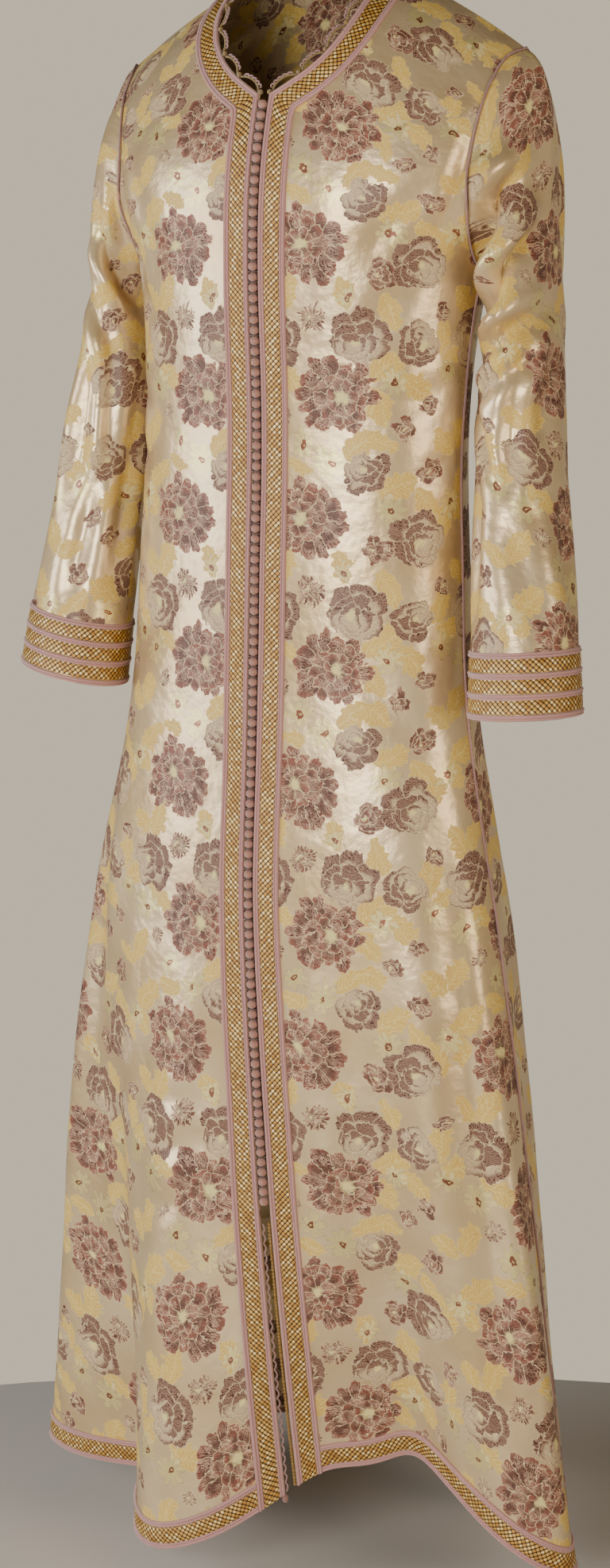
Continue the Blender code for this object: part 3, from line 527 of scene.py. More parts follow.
def split_cell(values, axis, cell, parts):
    """A grid with one of its rows or columns of cells cut into equal parts."""
    shares = np.linspace(0, 1, parts + 1)[1:-1]
    a, b = np.take(values, cell, axis), np.take(values, cell + 1, axis)
    new = np.stack([a + (b - a) * share for share in shares], axis)
    before, after = np.split(values, [cell + 1], axis)
    return np.concatenate([before, new, after], axis)


def refined(angle, level):
    """Both grids with the hem band's cells, and the cells above them, cut finer."""
    for cell in (1, 0):
        angle = split_cell(angle, 0, cell, HEM_PARTS)
        level = split_cell(level, 0, cell, HEM_PARTS)
    return angle, level


def front_grid(side):
    """Angles and levels of a front: rows from the hem to the shoulder, columns from the edge out."""
    edge_angle, edge_level = front_edge(side)
    corner = LOW_ROWS + V_ROW
    band_angle, band_level = band_edge(edge_angle, edge_level, side, corner)
    band_level[0], band_level[-1] = 0.0, top_level(band_angle[-1])
    low = np.concatenate([[0.0, FIRST_ROW_LEVEL / 3], low_levels()])
    turns = np.linspace(0, np.pi, ARMHOLE_STEPS + 1)[1:]
    arm_angle, arm_level = armhole(turns, side, False)
    out_angle = np.concatenate([side_seam(low, side, False), arm_angle])
    out_level = np.concatenate([low, arm_level])
    share = np.linspace(0, 1, FRONT_COLUMNS)
    angle = band_angle[:, None] + (out_angle - band_angle)[:, None] * share
    level = band_level[:, None] + (out_level - band_level)[:, None] * share
    angle = np.concatenate([edge_angle[:, None], angle], 1)
    level = np.concatenate([edge_level[:, None], level], 1)
    level[-1] = top_level(angle[-1])
    angle[1], level[1] = up_from_hem(angle[0])
    angle[1, -1] = side_seam(level[1, -1], side, False)
    angle[1, 0] = np.interp(level[1, 0], edge_level[[0, 2]], edge_angle[[0, 2]])
    angle[1, 1] = np.interp(level[1, 1], band_level[[0, 2]], band_angle[[0, 2]])
    angle, level = refined(angle, level)
    return split_cell(angle, 1, 0, BAND_PARTS), split_cell(level, 1, 0, BAND_PARTS)


def back_grid():
    """Angles and levels of the back, from the wearer's left side round to the right."""
    columns = 2 * SHOULDER_COLUMNS + NECK_COLUMNS
    share = np.linspace(0, 1, columns + 1)
    low = np.concatenate([[0.0, FIRST_ROW_LEVEL / 3], low_levels()])
    left, right = side_seam(low, 1, True), 2 * np.pi + side_seam(low, -1, True)
    angle = left[:, None] + (right - left)[:, None] * share
    level = low[:, None] + 0 * angle
    angle[1], level[1] = up_from_hem(angle[0])
    angle[1, 0] = side_seam(level[1, 0], 1, True)
    angle[1, -1] = 2 * np.pi + side_seam(level[1, -1], -1, True)

    # The top edge: shoulder, back neck, shoulder.
    shoulder = armhole(np.pi, 1, True)[0]
    neck = np.pi - np.arcsin(NECK_HALF_BREADTH / LEVELS[-1].half_width)
    corners = (0, SHOULDER_COLUMNS, columns - SHOULDER_COLUMNS, columns)
    corner_angles = (shoulder, neck, 2 * np.pi - neck, 2 * np.pi - shoulder)
    top_angle = np.interp(np.arange(columns + 1), corners, corner_angles)
    dip = np.clip((top_angle - neck) / (2 * np.pi - 2 * neck), 0, 1)
    seam = top_level(top_angle)
    neck_level = seam - (seam - NECK_BACK_LEVEL) * np.sin(np.pi * dip) ** 0.8
    ends = np.gradient(body(top_angle, neck_level), axis=0)
    down = unit(np.cross(normal(body, top_angle, neck_level), unit(ends))) * TRIM_WIDTH
    down = down * -np.sign(down[:, 2:])
    near_angle, near_level = step(top_angle, neck_level, down)

    # Between the underarm and the line one trim width below the top edge.
    turns = np.linspace(0, np.pi, ARMHOLE_STEPS + 1)[1:-1]
    side_angle, side_level = armhole(turns, 1, True)
    near_angle[[0, -1]] = side_angle[-1], 2 * np.pi - side_angle[-1]
    near_level[[0, -1]] = side_level[-1]
    rise = (np.arange(1, ARMHOLE_STEPS) / (ARMHOLE_STEPS - 1))[:, None]

    def filled(bottom, top, left_edge, right_edge):
        """Coons patch: the mean of the two ways across, less the corners."""
        across = left_edge[:, None] * (1 - share) + right_edge[:, None] * share
        upward = bottom * (1 - rise) + top * rise
        low_corners = bottom[0] * (1 - share) + bottom[-1] * share
        top_corners = top[0] * (1 - share) + top[-1] * share
        return across + upward - low_corners * (1 - rise) - top_corners * rise

    mid_angle = filled(angle[-1], near_angle, side_angle, 2 * np.pi - side_angle)
    mid_level = filled(level[-1], near_level, side_level, side_level)
    angle = np.concatenate([angle, mid_angle, top_angle[None]])
    level = np.concatenate([level, mid_level, neck_level[None]])
    last = len(angle) - 2
    angle, level = split_cell(angle, 0, last, BAND_PARTS), split_cell(level, 0, last, BAND_PARTS)
    return refined(angle, level)


def sleeve_grid(side_name):
    """Points of a sleeve, creased: rows down the arm, columns round it from the underarm by the front.

    The cap leaves the armhole as a Hermite curve, first outwards and then down. Below it each
    column is a smooth curve through the rings, which are ellipses.
    """
    side = SIDES[side_name]
    turns = np.linspace(0, np.pi, ARMHOLE_STEPS + 1)
    ahead = armhole(turns, side, False)
    behind = armhole(turns[-2:0:-1], side, True)
    angle, level = (np.concatenate(pair) for pair in zip(ahead, behind))
    hole = cloth(angle, level)
    round_hole = unit(np.roll(hole, -1, 0) - np.roll(hole, 1, 0))
    off = side * unit(np.cross(round_hole, normal(body, angle, level)))
    start = hole + off * (CAD_WALL / 2 + 2 * SEAM_GAP)
    ways = np.concatenate([turns, 2 * np.pi - turns[-2:0:-1]])
    rings = []
    for ring in RINGS[side_name]:
        outward = -ring.half_width * np.cos(ways)
        x = side * (ring.x + outward)
        y = ring.y - ring.half_depth * np.sin(ways)
        rings.append(np.stack([x, y, ring.height + ring.tilt * outward], -1))
    rings = np.array(rings)
    first, after = rings[0], rings[1]
    far = np.linalg.norm(first - start, axis=1)[:, None]
    leave = unit(0.3 * off + np.array([side * 1.2, 0, -0.25])) * far * CAP_FULLNESS
    arrive = unit(after - first) * far
    t = np.linspace(0, 1, CAP_STEPS + 1)[:-1, None, None]
    cap = (
        (2 * t**3 - 3 * t**2 + 1) * start
        + (t**3 - 2 * t**2 + t) * leave
        + (3 * t**2 - 2 * t**3) * first
        + (t**3 - t**2) * arrive
    )
    places = np.linspace(0, len(rings) - 1, (len(rings) - 1) * RING_STEPS + 1)
    tube = along(rings.reshape(len(rings), -1), places).reshape(len(places), *rings.shape[1:])
    smooth = np.concatenate([cap, tube])
    turn = np.broadcast_to(ways, smooth.shape[:2])
    depth = sunk(SLEEVE_CREASES[side_name], turn, smooth[..., 2], SLEEVE_REACH)
    depth = depth - ripple(turn * 0.25 + side, smooth[..., 2])
    rows = np.arange(len(smooth))[:, None]
    cuff = len(smooth) - 1 - RING_STEPS
    calm = np.clip(rows / CALM_ROWS_CAP, 0, 1) * np.clip((cuff + 3 - rows) / CALM_ROWS_CUFF, 0, 1)
    return smooth - grid_normals(smooth, True) * (depth * calm)[..., None]


def grid_normals(points, closed):
    """Outward normals of a grid of points, from its own central differences."""
    if closed:
        round_way = np.roll(points, -1, 1) - np.roll(points, 1, 1)
    else:
        round_way = np.gradient(points, axis=1)
    out = unit(np.cross(round_way, np.gradient(points, axis=0)))
    if closed:
        # Rows run down the arm, so the sense is taken from the middle of each ring.
        middle = points.mean(1, keepdims=True)
        out = out * np.sign(dot(out, points - middle).mean())
    return out


# ---------------------------------------------------------------- meshes


def quads(rows, columns, closed):
    """Corner rows and columns of each cell of a grid, anticlockwise; columns run past the last
    one where the grid is closed."""
    i, j = np.meshgrid(np.arange(rows - 1), np.arange(columns - (not closed)), indexing="ij")
    i, j = i.ravel(), j.ravel()
    return np.stack([i, i, i + 1, i + 1], 1), np.stack([j, j + 1, j + 1, j], 1)


def rim(rows, columns, closed):
    """Boundary cells of a wall, as steps (from row, from column, to row, to column)."""
    j = np.arange(columns - (not closed))
    low = np.stack([0 * j, j, 0 * j, j + 1], 1)
    high = np.stack([0 * j + rows - 1, j + 1, 0 * j + rows - 1, j], 1)
    if closed:
        return np.concatenate([low, high])
    i = np.arange(rows - 1)
    right = np.stack([i, 0 * i + columns - 1, i + 1, 0 * i + columns - 1], 1)
    left = np.stack([i + 1, 0 * i, i, 0 * i], 1)
    return np.concatenate([low, right, high, left])


def put_mesh(name, points, faces, uv, material, sharp=50):
    """A named piece from points, four-cornered faces and a UV pair for each face corner."""
    a, b, c, d = (points[faces[:, k]] for k in range(4))
    volume = dot(a, np.cross(b, c)).sum() + dot(a, np.cross(c, d)).sum()
    if volume < 0:
        faces, uv = faces[:, ::-1], uv[:, ::-1]
    mesh = bpy.data.meshes.new(name)
    mesh.vertices.add(len(points))
    mesh.vertices.foreach_set("co", points.astype(np.float32).ravel())
    mesh.loops.add(faces.size)
    mesh.loops.foreach_set("vertex_index", faces.astype(np.int32).ravel())
    mesh.polygons.add(len(faces))
    mesh.polygons.foreach_set("loop_start", np.arange(0, faces.size, 4, dtype=np.int32))
    mesh.update(calc_edges=True)
    layer = mesh.uv_layers.new(name="UVMap")
    layer.data.foreach_set("uv", uv.astype(np.float32).ravel())
    mesh.validate()
    mesh.shade_smooth()
    mesh.set_sharp_from_angle(angle=np.radians(sharp))
    mesh.materials.append(material)
    piece = bpy.data.objects.new(name, mesh)
    bpy.context.scene.collection.objects.link(piece)
    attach(piece, "root")
    return piece


def wall(name, outer, inner, uv, closed, material, sharp=50):
    """A piece between two like grids, with its rim. uv has one more column where it is closed."""
    rows, columns = outer.shape[:2]
    count = rows * columns
    i, j = quads(rows, columns, closed)
    faces = i * columns + j % columns
    corners = uv[i, j]
    edge = rim(rows, columns, closed)
    a = edge[:, 0] * columns + edge[:, 1] % columns
    b = edge[:, 2] * columns + edge[:, 3] % columns
    side_faces = np.stack([b, a, a + count, b + count], 1)
    uv_a, uv_b = uv[edge[:, 0], edge[:, 1]], uv[edge[:, 2], edge[:, 3]]
    side_uv = np.stack([uv_b, uv_a, uv_a, uv_b], 1)
    points = np.concatenate([outer.reshape(-1, 3), inner.reshape(-1, 3)])
    all_faces = np.concatenate([faces, faces[:, ::-1] + count, side_faces])
    all_uv = np.concatenate([corners, corners[:, ::-1], side_uv])
    return put_mesh(name, points, all_faces, all_uv, material, sharp)


def tubes(name, rings, radii, material, loop=False):
    """Round cords. rings has the points and two cross ways of each path: (paths, points, 3, 3).

    Each cross-section is a circle of its own radius; open ends run to a point.
    """
    paths, count = rings.shape[:2]
    sides = 8 if paths < 30 else 6
    turns = 2 * np.pi * np.arange(sides) / sides
    circle = np.stack([np.cos(turns), np.sin(turns)], 1)
    radii = np.broadcast_to(radii, (paths, count)).copy()
    if not loop:
        radii[:, [0, -1]] = 1e-5
    spread = np.einsum("sk,pnkc->pnsc", circle, rings[:, :, 1:])
    points = rings[:, :, None, 0] + spread * radii[..., None, None]
    steps = np.linalg.norm(np.diff(rings[:, :, 0], axis=1), axis=2)
    lengths = np.concatenate([np.zeros((paths, 1)), np.cumsum(steps, 1)], 1)
    i, j = quads(count + loop, sides, True)
    offset = (np.arange(paths) * count * sides)[:, None, None]
    faces = offset + (i % count) * sides + j % sides
    lengths = np.concatenate([lengths, lengths[:, -1:] + steps[:, :1]], 1) if loop else lengths
    uv = np.stack([np.broadcast_to(j / sides, (paths, *j.shape)), lengths[:, i]], -1)
    faces, uv = faces.reshape(-1, 4), uv.reshape(-1, 4, 2)
    return put_mesh(name, points.reshape(-1, 3), faces, uv, material)


def frames_along(path, out):
    """A path's points with two ways across it: beside and out."""
    way = unit(np.gradient(path, axis=-2))
    beside = unit(np.cross(way, out))
    return np.stack([path, beside, np.cross(beside, way)], -2)


# ---------------------------------------------------------------- lengths for the weave


TABLE_TURNS, TABLE_LEVELS = 360, 240


def length_tables():
    """Lengths along the body cloth: round it from centre front, and up it from the hem."""
    angles = np.linspace(-np.pi, np.pi, TABLE_TURNS + 1)
    levels = np.linspace(0, RIDGE, TABLE_LEVELS + 1)
    points = body(angles[None, :], levels[:, None])
    round_steps = np.linalg.norm(np.diff(points, axis=1), axis=2)
    round_way = np.concatenate([np.zeros((TABLE_LEVELS + 1, 1)), np.cumsum(round_steps, 1)], 1)
    up_steps = np.linalg.norm(np.diff(points, axis=0), axis=2)
    up_way = np.concatenate([np.zeros((1, TABLE_TURNS + 1)), np.cumsum(up_steps, 0)], 0)
    middle = TABLE_TURNS // 2
    return round_way - round_way[:, middle : middle + 1], up_way


ROUND_TABLE, UP_TABLE = length_tables()


def read_table(table, angle, level):
    """A table read at angles and levels, straight between its entries."""
    turns = np.floor((angle + np.pi) / (2 * np.pi))
    a = (angle + np.pi - turns * 2 * np.pi) / (2 * np.pi) * TABLE_TURNS
    b = np.clip(level, 0, RIDGE) / RIDGE * TABLE_LEVELS
    i = np.clip(b.astype(int), 0, TABLE_LEVELS - 1)
    j = np.clip(a.astype(int), 0, TABLE_TURNS - 1)
    s, t = b - i, a - j
    low = table[i, j] * (1 - t) + table[i, j + 1] * t
    high = table[i + 1, j] * (1 - t) + table[i + 1, j + 1] * t
    return low * (1 - s) + high * s


# ---------------------------------------------------------------- materials


def linear(colour):
    """sRGB hex to linear RGBA."""
    parts = np.array([int(colour[k : k + 2], 16) for k in (1, 3, 5)]) / 255
    return (*np.where(parts <= 0.04045, parts / 12.92, ((parts + 0.055) / 1.055) ** 2.4), 1.0)


def add(tree, kind, *inputs, **settings):
    """Adds a node with its settings, and sets or links its inputs in order.

    Its operation, where it has one, follows its kind after a colon.
    """
    kind, _, operation = kind.partition(":")
    made = tree.nodes.new("ShaderNode" + kind)
    if operation:
        made.operation = operation
    for key, value in settings.items():
        setattr(made, key, value)
    for place, value in enumerate(inputs):
        if value is None:
            continue
        if isinstance(value, bpy.types.Node):
            value = value.outputs[0]
        if isinstance(value, bpy.types.NodeSocket):
            tree.links.new(value, made.inputs[place])
        else:
            made.inputs[place].default_value = value
    return made


def new_material(name, **sockets):
    """A Principled material, its tree and its shader. Uniform values sit on the shader's sockets."""
    made = bpy.data.materials.new(name)
    made.use_nodes = True
    tree = made.node_tree
    shader = tree.nodes["Principled BSDF"]
    for key, value in sockets.items():
        shader.inputs[key.replace("_", " ")].default_value = value
    return made, tree, shader


def start_group(name, inputs, outputs):
    """A node group's tree and the sockets that come in; the first one in is always a vector."""
    group = bpy.data.node_groups.new(name, "ShaderNodeTree")
    group.interface.new_socket("Vector", in_out="INPUT", socket_type="NodeSocketVector")
    for each in inputs:
        group.interface.new_socket(each, in_out="INPUT", socket_type="NodeSocketFloat")
    for each in outputs:
        group.interface.new_socket(each, in_out="OUTPUT", socket_type="NodeSocketFloat")
    return group, group.nodes.new("NodeGroupInput").outputs


def end_group(group, results):
    """Links a node group's results to its output and gives the finished group."""
    end = group.nodes.new("NodeGroupOutput")
    for place, made in enumerate(results):
        group.links.new(made.outputs[0], end.inputs[place])
    return group


def polar(group, vector):
    """Angle and distance of a vector on the cloth."""
    apart = add(group, "SeparateXYZ", vector)
    far = add(group, "VectorMath:LENGTH", vector).outputs["Value"]
    return add(group, "Math:ARCTAN2", apart.outputs[1], apart.outputs[0]), far


def flower_group():
    """A woven flower: three layers of petals, in millimetres round its middle.

    Each layer's edge is a circle whose radius follows the root of |cos| of half the petal count
    times the angle, with petals of uneven length. The two inner layers sit off the middle.
    Depth is the distance in from a petal's edge as a share of the flower's radius, and Chance is
    a number of each petal's own. Fine rays run along the petals. Side goes from 0 on one side of
    the flower to 1 on the other.
    """
    names = ("Radius", "Petals", "Scallop")
    group, (vector, size, petals, scallop, _) = start_group(
        "woven_flower", names, ("Inside", "Line", "Depth", "Chance", "Heart", "Rays", "Side")
    )
    aside = add(group, "VectorMath:SCALE", (-0.15, 0.10, 0.0))
    group.links.new(size, aside.inputs["Scale"])
    inward = add(group, "VectorMath:SUBTRACT", vector, aside)
    outer_angle, outer_far = polar(group, vector)
    inner_angle, inner_far = polar(group, inward)
    base = add(group, "Math:SUBTRACT", 1.0, scallop)
    inside = near = depth = chance = None
    for share, fewer, phase in ((1.0, 1.0, 0.0), (0.70, 0.76, 0.9), (0.42, 0.5, 2.1)):
        angle, far = (outer_angle, outer_far) if share == 1.0 else (inner_angle, inner_far)
        count = add(group, "Math:MULTIPLY", petals, fewer)
        count = add(group, "Math:ROUND", count)
        half = add(group, "Math:MULTIPLY", count, 0.5)
        turned = add(group, "Math:MULTIPLY_ADD", angle, half, phase)
        wave = add(group, "Math:COSINE", turned)
        wave = add(group, "Math:ABSOLUTE", wave)
        bulge = add(group, "Math:POWER", wave, 0.5)
        cell = add(group, "Math:MULTIPLY_ADD", turned, 1 / np.pi, 0.5 + 9 * share)
        cell = add(group, "Math:FLOOR", cell)
        own = add(group, "TexWhiteNoise", None, cell, noise_dimensions="1D")
        uneven = add(group, "MapRange", own, 0.0, 1.0, share * 0.80, share * 1.04)
        reach = add(group, "Math:MULTIPLY_ADD", scallop, bulge, base)
        reach = add(group, "Math:MULTIPLY", reach, size)
        reach = add(group, "Math:MULTIPLY", reach, uneven)
        edge = add(group, "Math:SUBTRACT", reach, far)
        within = add(group, "Math:GREATER_THAN", edge, 0.0)
        joint = add(group, "Math:MULTIPLY", wave, far)
        joint = add(group, "Math:DIVIDE", joint, half)
        outside = add(group, "Math:SUBTRACT", 1.0, within)
        joint = add(group, "Math:MULTIPLY_ADD", outside, 50.0, joint)
        layer = add(group, "Math:ABSOLUTE", edge)
        layer = add(group, "Math:MINIMUM", layer, joint)
        deep = add(group, "Math:DIVIDE", edge, size)
        if inside is None:
            inside, near, depth, chance = within, layer, deep, own
            continue
        # A layer hides the lines of the one outside it.
        hidden = add(group, "Math:MULTIPLY_ADD", within, 50.0, near)
        near = add(group, "Math:MINIMUM", hidden, layer)
        depth = add(group, "Mix", within, None, depth, deep)
        chance = add(group, "Mix", within, None, chance, own)
    line = add(group, "MapRange", near, 0.1, 0.65, 0.85, 0.0)
    line = add(group, "Math:MULTIPLY", line, inside)
    heart = add(group, "Math:DIVIDE", inner_far, size)
    heart = add(group, "MapRange", heart, 0.08, 0.17, 1.0, 0.0)
    rays = add(group, "Math:MULTIPLY", outer_angle, 71.0)
    rays = add(group, "Math:SINE", rays)
    rays = add(group, "MapRange", rays, 0.0, 0.9, 0.0, 1.0)
    side = add(group, "Math:COSINE", inner_angle)
    side = add(group, "MapRange", side, -0.8, 0.8, 0.0, 1.0)
    return end_group(group, (inside, line, depth, chance, heart, rays, side))


def daisy_group():
    """A woven daisy in millimetres: narrow petals, |cos| to a power, round a ring."""
    group, (vector, size, petals, _) = start_group(
        "woven_daisy", ("Radius", "Petals"), ("Inside", "Line", "Ring")
    )
    angle, far = polar(group, vector)
    half = add(group, "Math:MULTIPLY", petals, 0.5)
    wave = add(group, "Math:MULTIPLY", angle, half)
    wave = add(group, "Math:COSINE", wave)
    wave = add(group, "Math:ABSOLUTE", wave)
    wave = add(group, "Math:POWER", wave, 0.7)
    reach = add(group, "Math:MULTIPLY_ADD", wave, 0.74, 0.26)
    reach = add(group, "Math:MULTIPLY", reach, size)
    edge = add(group, "Math:SUBTRACT", reach, far)
    inside = add(group, "MapRange", edge, 0.0, 0.5, 0.0, 1.0)
    line = add(group, "MapRange", edge, 0.4, 1.3, 1.0, 0.0)
    line = add(group, "Math:MULTIPLY", line, inside)
    ring = add(group, "Math:SUBTRACT", far, 2.0)
    ring = add(group, "Math:ABSOLUTE", ring)
    ring = add(group, "MapRange", ring, 0.8, 1.4, 1.0, 0.0)
    return end_group(group, (inside, line, ring))


def leaf_group():
    """A woven leaf in millimetres: its half width is an ellipse's with a lobed edge, and its veins
    slant back from the midrib."""
    group, (vector, length, width, _) = start_group(
        "woven_leaf", ("Length", "Width"), ("Inside", "Vein")
    )
    apart = add(group, "SeparateXYZ", vector)
    x, y = apart.outputs[:2]
    half = add(group, "Math:ABSOLUTE", y)
    place = add(group, "Math:DIVIDE", x, length)
    square = add(group, "Math:MULTIPLY", place, place)
    left = add(group, "Math:SUBTRACT", 1.0, square, use_clamp=True)
    root = add(group, "Math:POWER", left, 0.55)
    serration = add(group, "Math:MULTIPLY", x, 0.75)
    serration = add(group, "Math:SINE", serration)
    serration = add(group, "Math:MULTIPLY_ADD", serration, 0.14, 1.0)
    reach = add(group, "Math:MULTIPLY", root, serration)
    edge = add(group, "Math:MULTIPLY", reach, width)
    edge = add(group, "Math:SUBTRACT", edge, half)
    inside = add(group, "MapRange", edge, 0.0, 0.6, 0.0, 1.0)
    slant = add(group, "Math:MULTIPLY_ADD", half, -1.1, x)
    slant = add(group, "Math:MULTIPLY", slant, 1.5)
    vein = add(group, "Math:SINE", slant)
    vein = add(group, "MapRange", vein, 0.2, 0.9, 0.0, 1.0)
    rib = add(group, "MapRange", half, 0.3, 0.9, 1.0, 0.0)
    rim = add(group, "MapRange", edge, 0.3, 1.2, 1.0, 0.0)
    vein = add(group, "Math:MAXIMUM", vein, rib)
    vein = add(group, "Math:MAXIMUM", vein, rim)
    return end_group(group, (inside, vein))


# The figured design's repeat, in millimetres: across the cloth and up it.
REPEAT = (190.0, 240.0)
# Each motif has its place, its radius (a leaf's half length), a turn in degrees and two numbers
# of its own kind, named beside each table.
Motif = namedtuple("Motif", "x y size turn first second", defaults=(0.0,))
PEONIES = [  # petals, scallop
    Motif(*row)
    for row in (
        (52, 180, 39, 10, 15, 0.17),
        (76, 50, 38, 200, 14, 0.18),
        (57, 118, 14, 0, 19, 0.60),  # aster
        (30, 30, 9, 60, 15, 0.60),
        (117, 156, 15, 40, 5, 0.34),  # buds
        (162, 226, 13, 110, 5, 0.34),
        (138, 22, 11, 75, 4, 0.40),
        (160, 40, 10, 20, 4, 0.40),
        (176, 122, 9, 200, 4, 0.40),
    )
]
ROSES = [  # petals, scallop
    Motif(*row)
    for row in (
        (22, 98, 28, 20, 5, 0.20),
        (99, 100, 29, 80, 6, 0.20),
        (152, 166, 28, 150, 5, 0.22),
        (150, 94, 22, 220, 5, 0.24),
        (104, 222, 23, 320, 5, 0.24),
    )
]
DAISIES = [  # petals
    Motif(*row)
    for row in (
        (72, 231, 16, 0, 9),
        (128, 190, 15, 20, 9),
        (16, 56, 16, 40, 9),
        (128, 60, 14, 10, 9),
        (46, 8, 13, 0, 8),
        (178, 70, 13, 30, 9),
        (88, 136, 10, 15, 8),
        (184, 196, 13, 70, 9),
    )
]
LEAVES = [  # half width
    Motif(*row)
    for row in (
        (124, 74, 20, 28, 12),
        (146, 58, 18, -38, 11),
        (116, 40, 17, -62, 10),
        (134, 212, 19, 24, 11),
        (160, 196, 17, -50, 10),
        (176, 178, 16, 80, 9),
        (30, 140, 18, 70, 11),
        (8, 134, 15, 130, 9),
        (86, 140, 15, 105, 9),
        (126, 122, 17, -70, 10),
        (32, 66, 17, -30, 9),
        (14, 214, 19, 40, 11),
        (4, 192, 15, 120, 9),
        (174, 104, 17, 80, 10),
        (186, 84, 15, 10, 9),
        (44, 226, 15, 160, 8),
        (98, 8, 18, 35, 10),
        (118, 10, 15, -30, 9),
        (6, 18, 17, 60, 10),
        (176, 8, 15, 140, 9),
    )
]


def nearest(tree, place, motifs):
    """Millimetres round the nearest motif of a table, turned to its angle, and its numbers.

    Nearest is the least distance as a share of the motif's size, in a design that repeats.
    """
    half = (REPEAT[0] / 2, REPEAT[1] / 2, 1.0)
    low = tuple(-value for value in half)
    best = local = numbers = turn = None
    for row in motifs:
        moved = add(tree, "VectorMath:SUBTRACT", place, (row.x, row.y, 0))
        moved = add(tree, "VectorMath:WRAP", moved, half, low)
        far = add(tree, "VectorMath:LENGTH", moved).outputs["Value"]
        far = add(tree, "Math:MULTIPLY", far, 1 / row.size)
        own = (row.size / 100, row.first / 100, row.second, 1.0)
        if best is None:
            best, local = far, moved
            numbers = add(tree, "RGB")
            numbers.outputs[0].default_value = own
            turn = add(tree, "Value")
            turn.outputs[0].default_value = -np.radians(row.turn)
            continue
        closer = add(tree, "Math:LESS_THAN", far, best)
        best = add(tree, "Math:MINIMUM", far, best)
        local = add(tree, "MixRGB", closer, local, moved)
        numbers = add(tree, "MixRGB", closer, numbers, own)
        turn = add(tree, "Mix", closer, None, turn, -np.radians(row.turn))
    turned = add(tree, "VectorRotate", local, rotation_type="Z_AXIS")
    tree.links.new(turn.outputs[0], turned.inputs["Angle"])
    apart = add(tree, "SeparateColor", numbers)
    size, first = (add(tree, "Math:MULTIPLY", apart.outputs[k], 100.0) for k in (0, 1))
    return turned, size, first, apart.outputs[2]


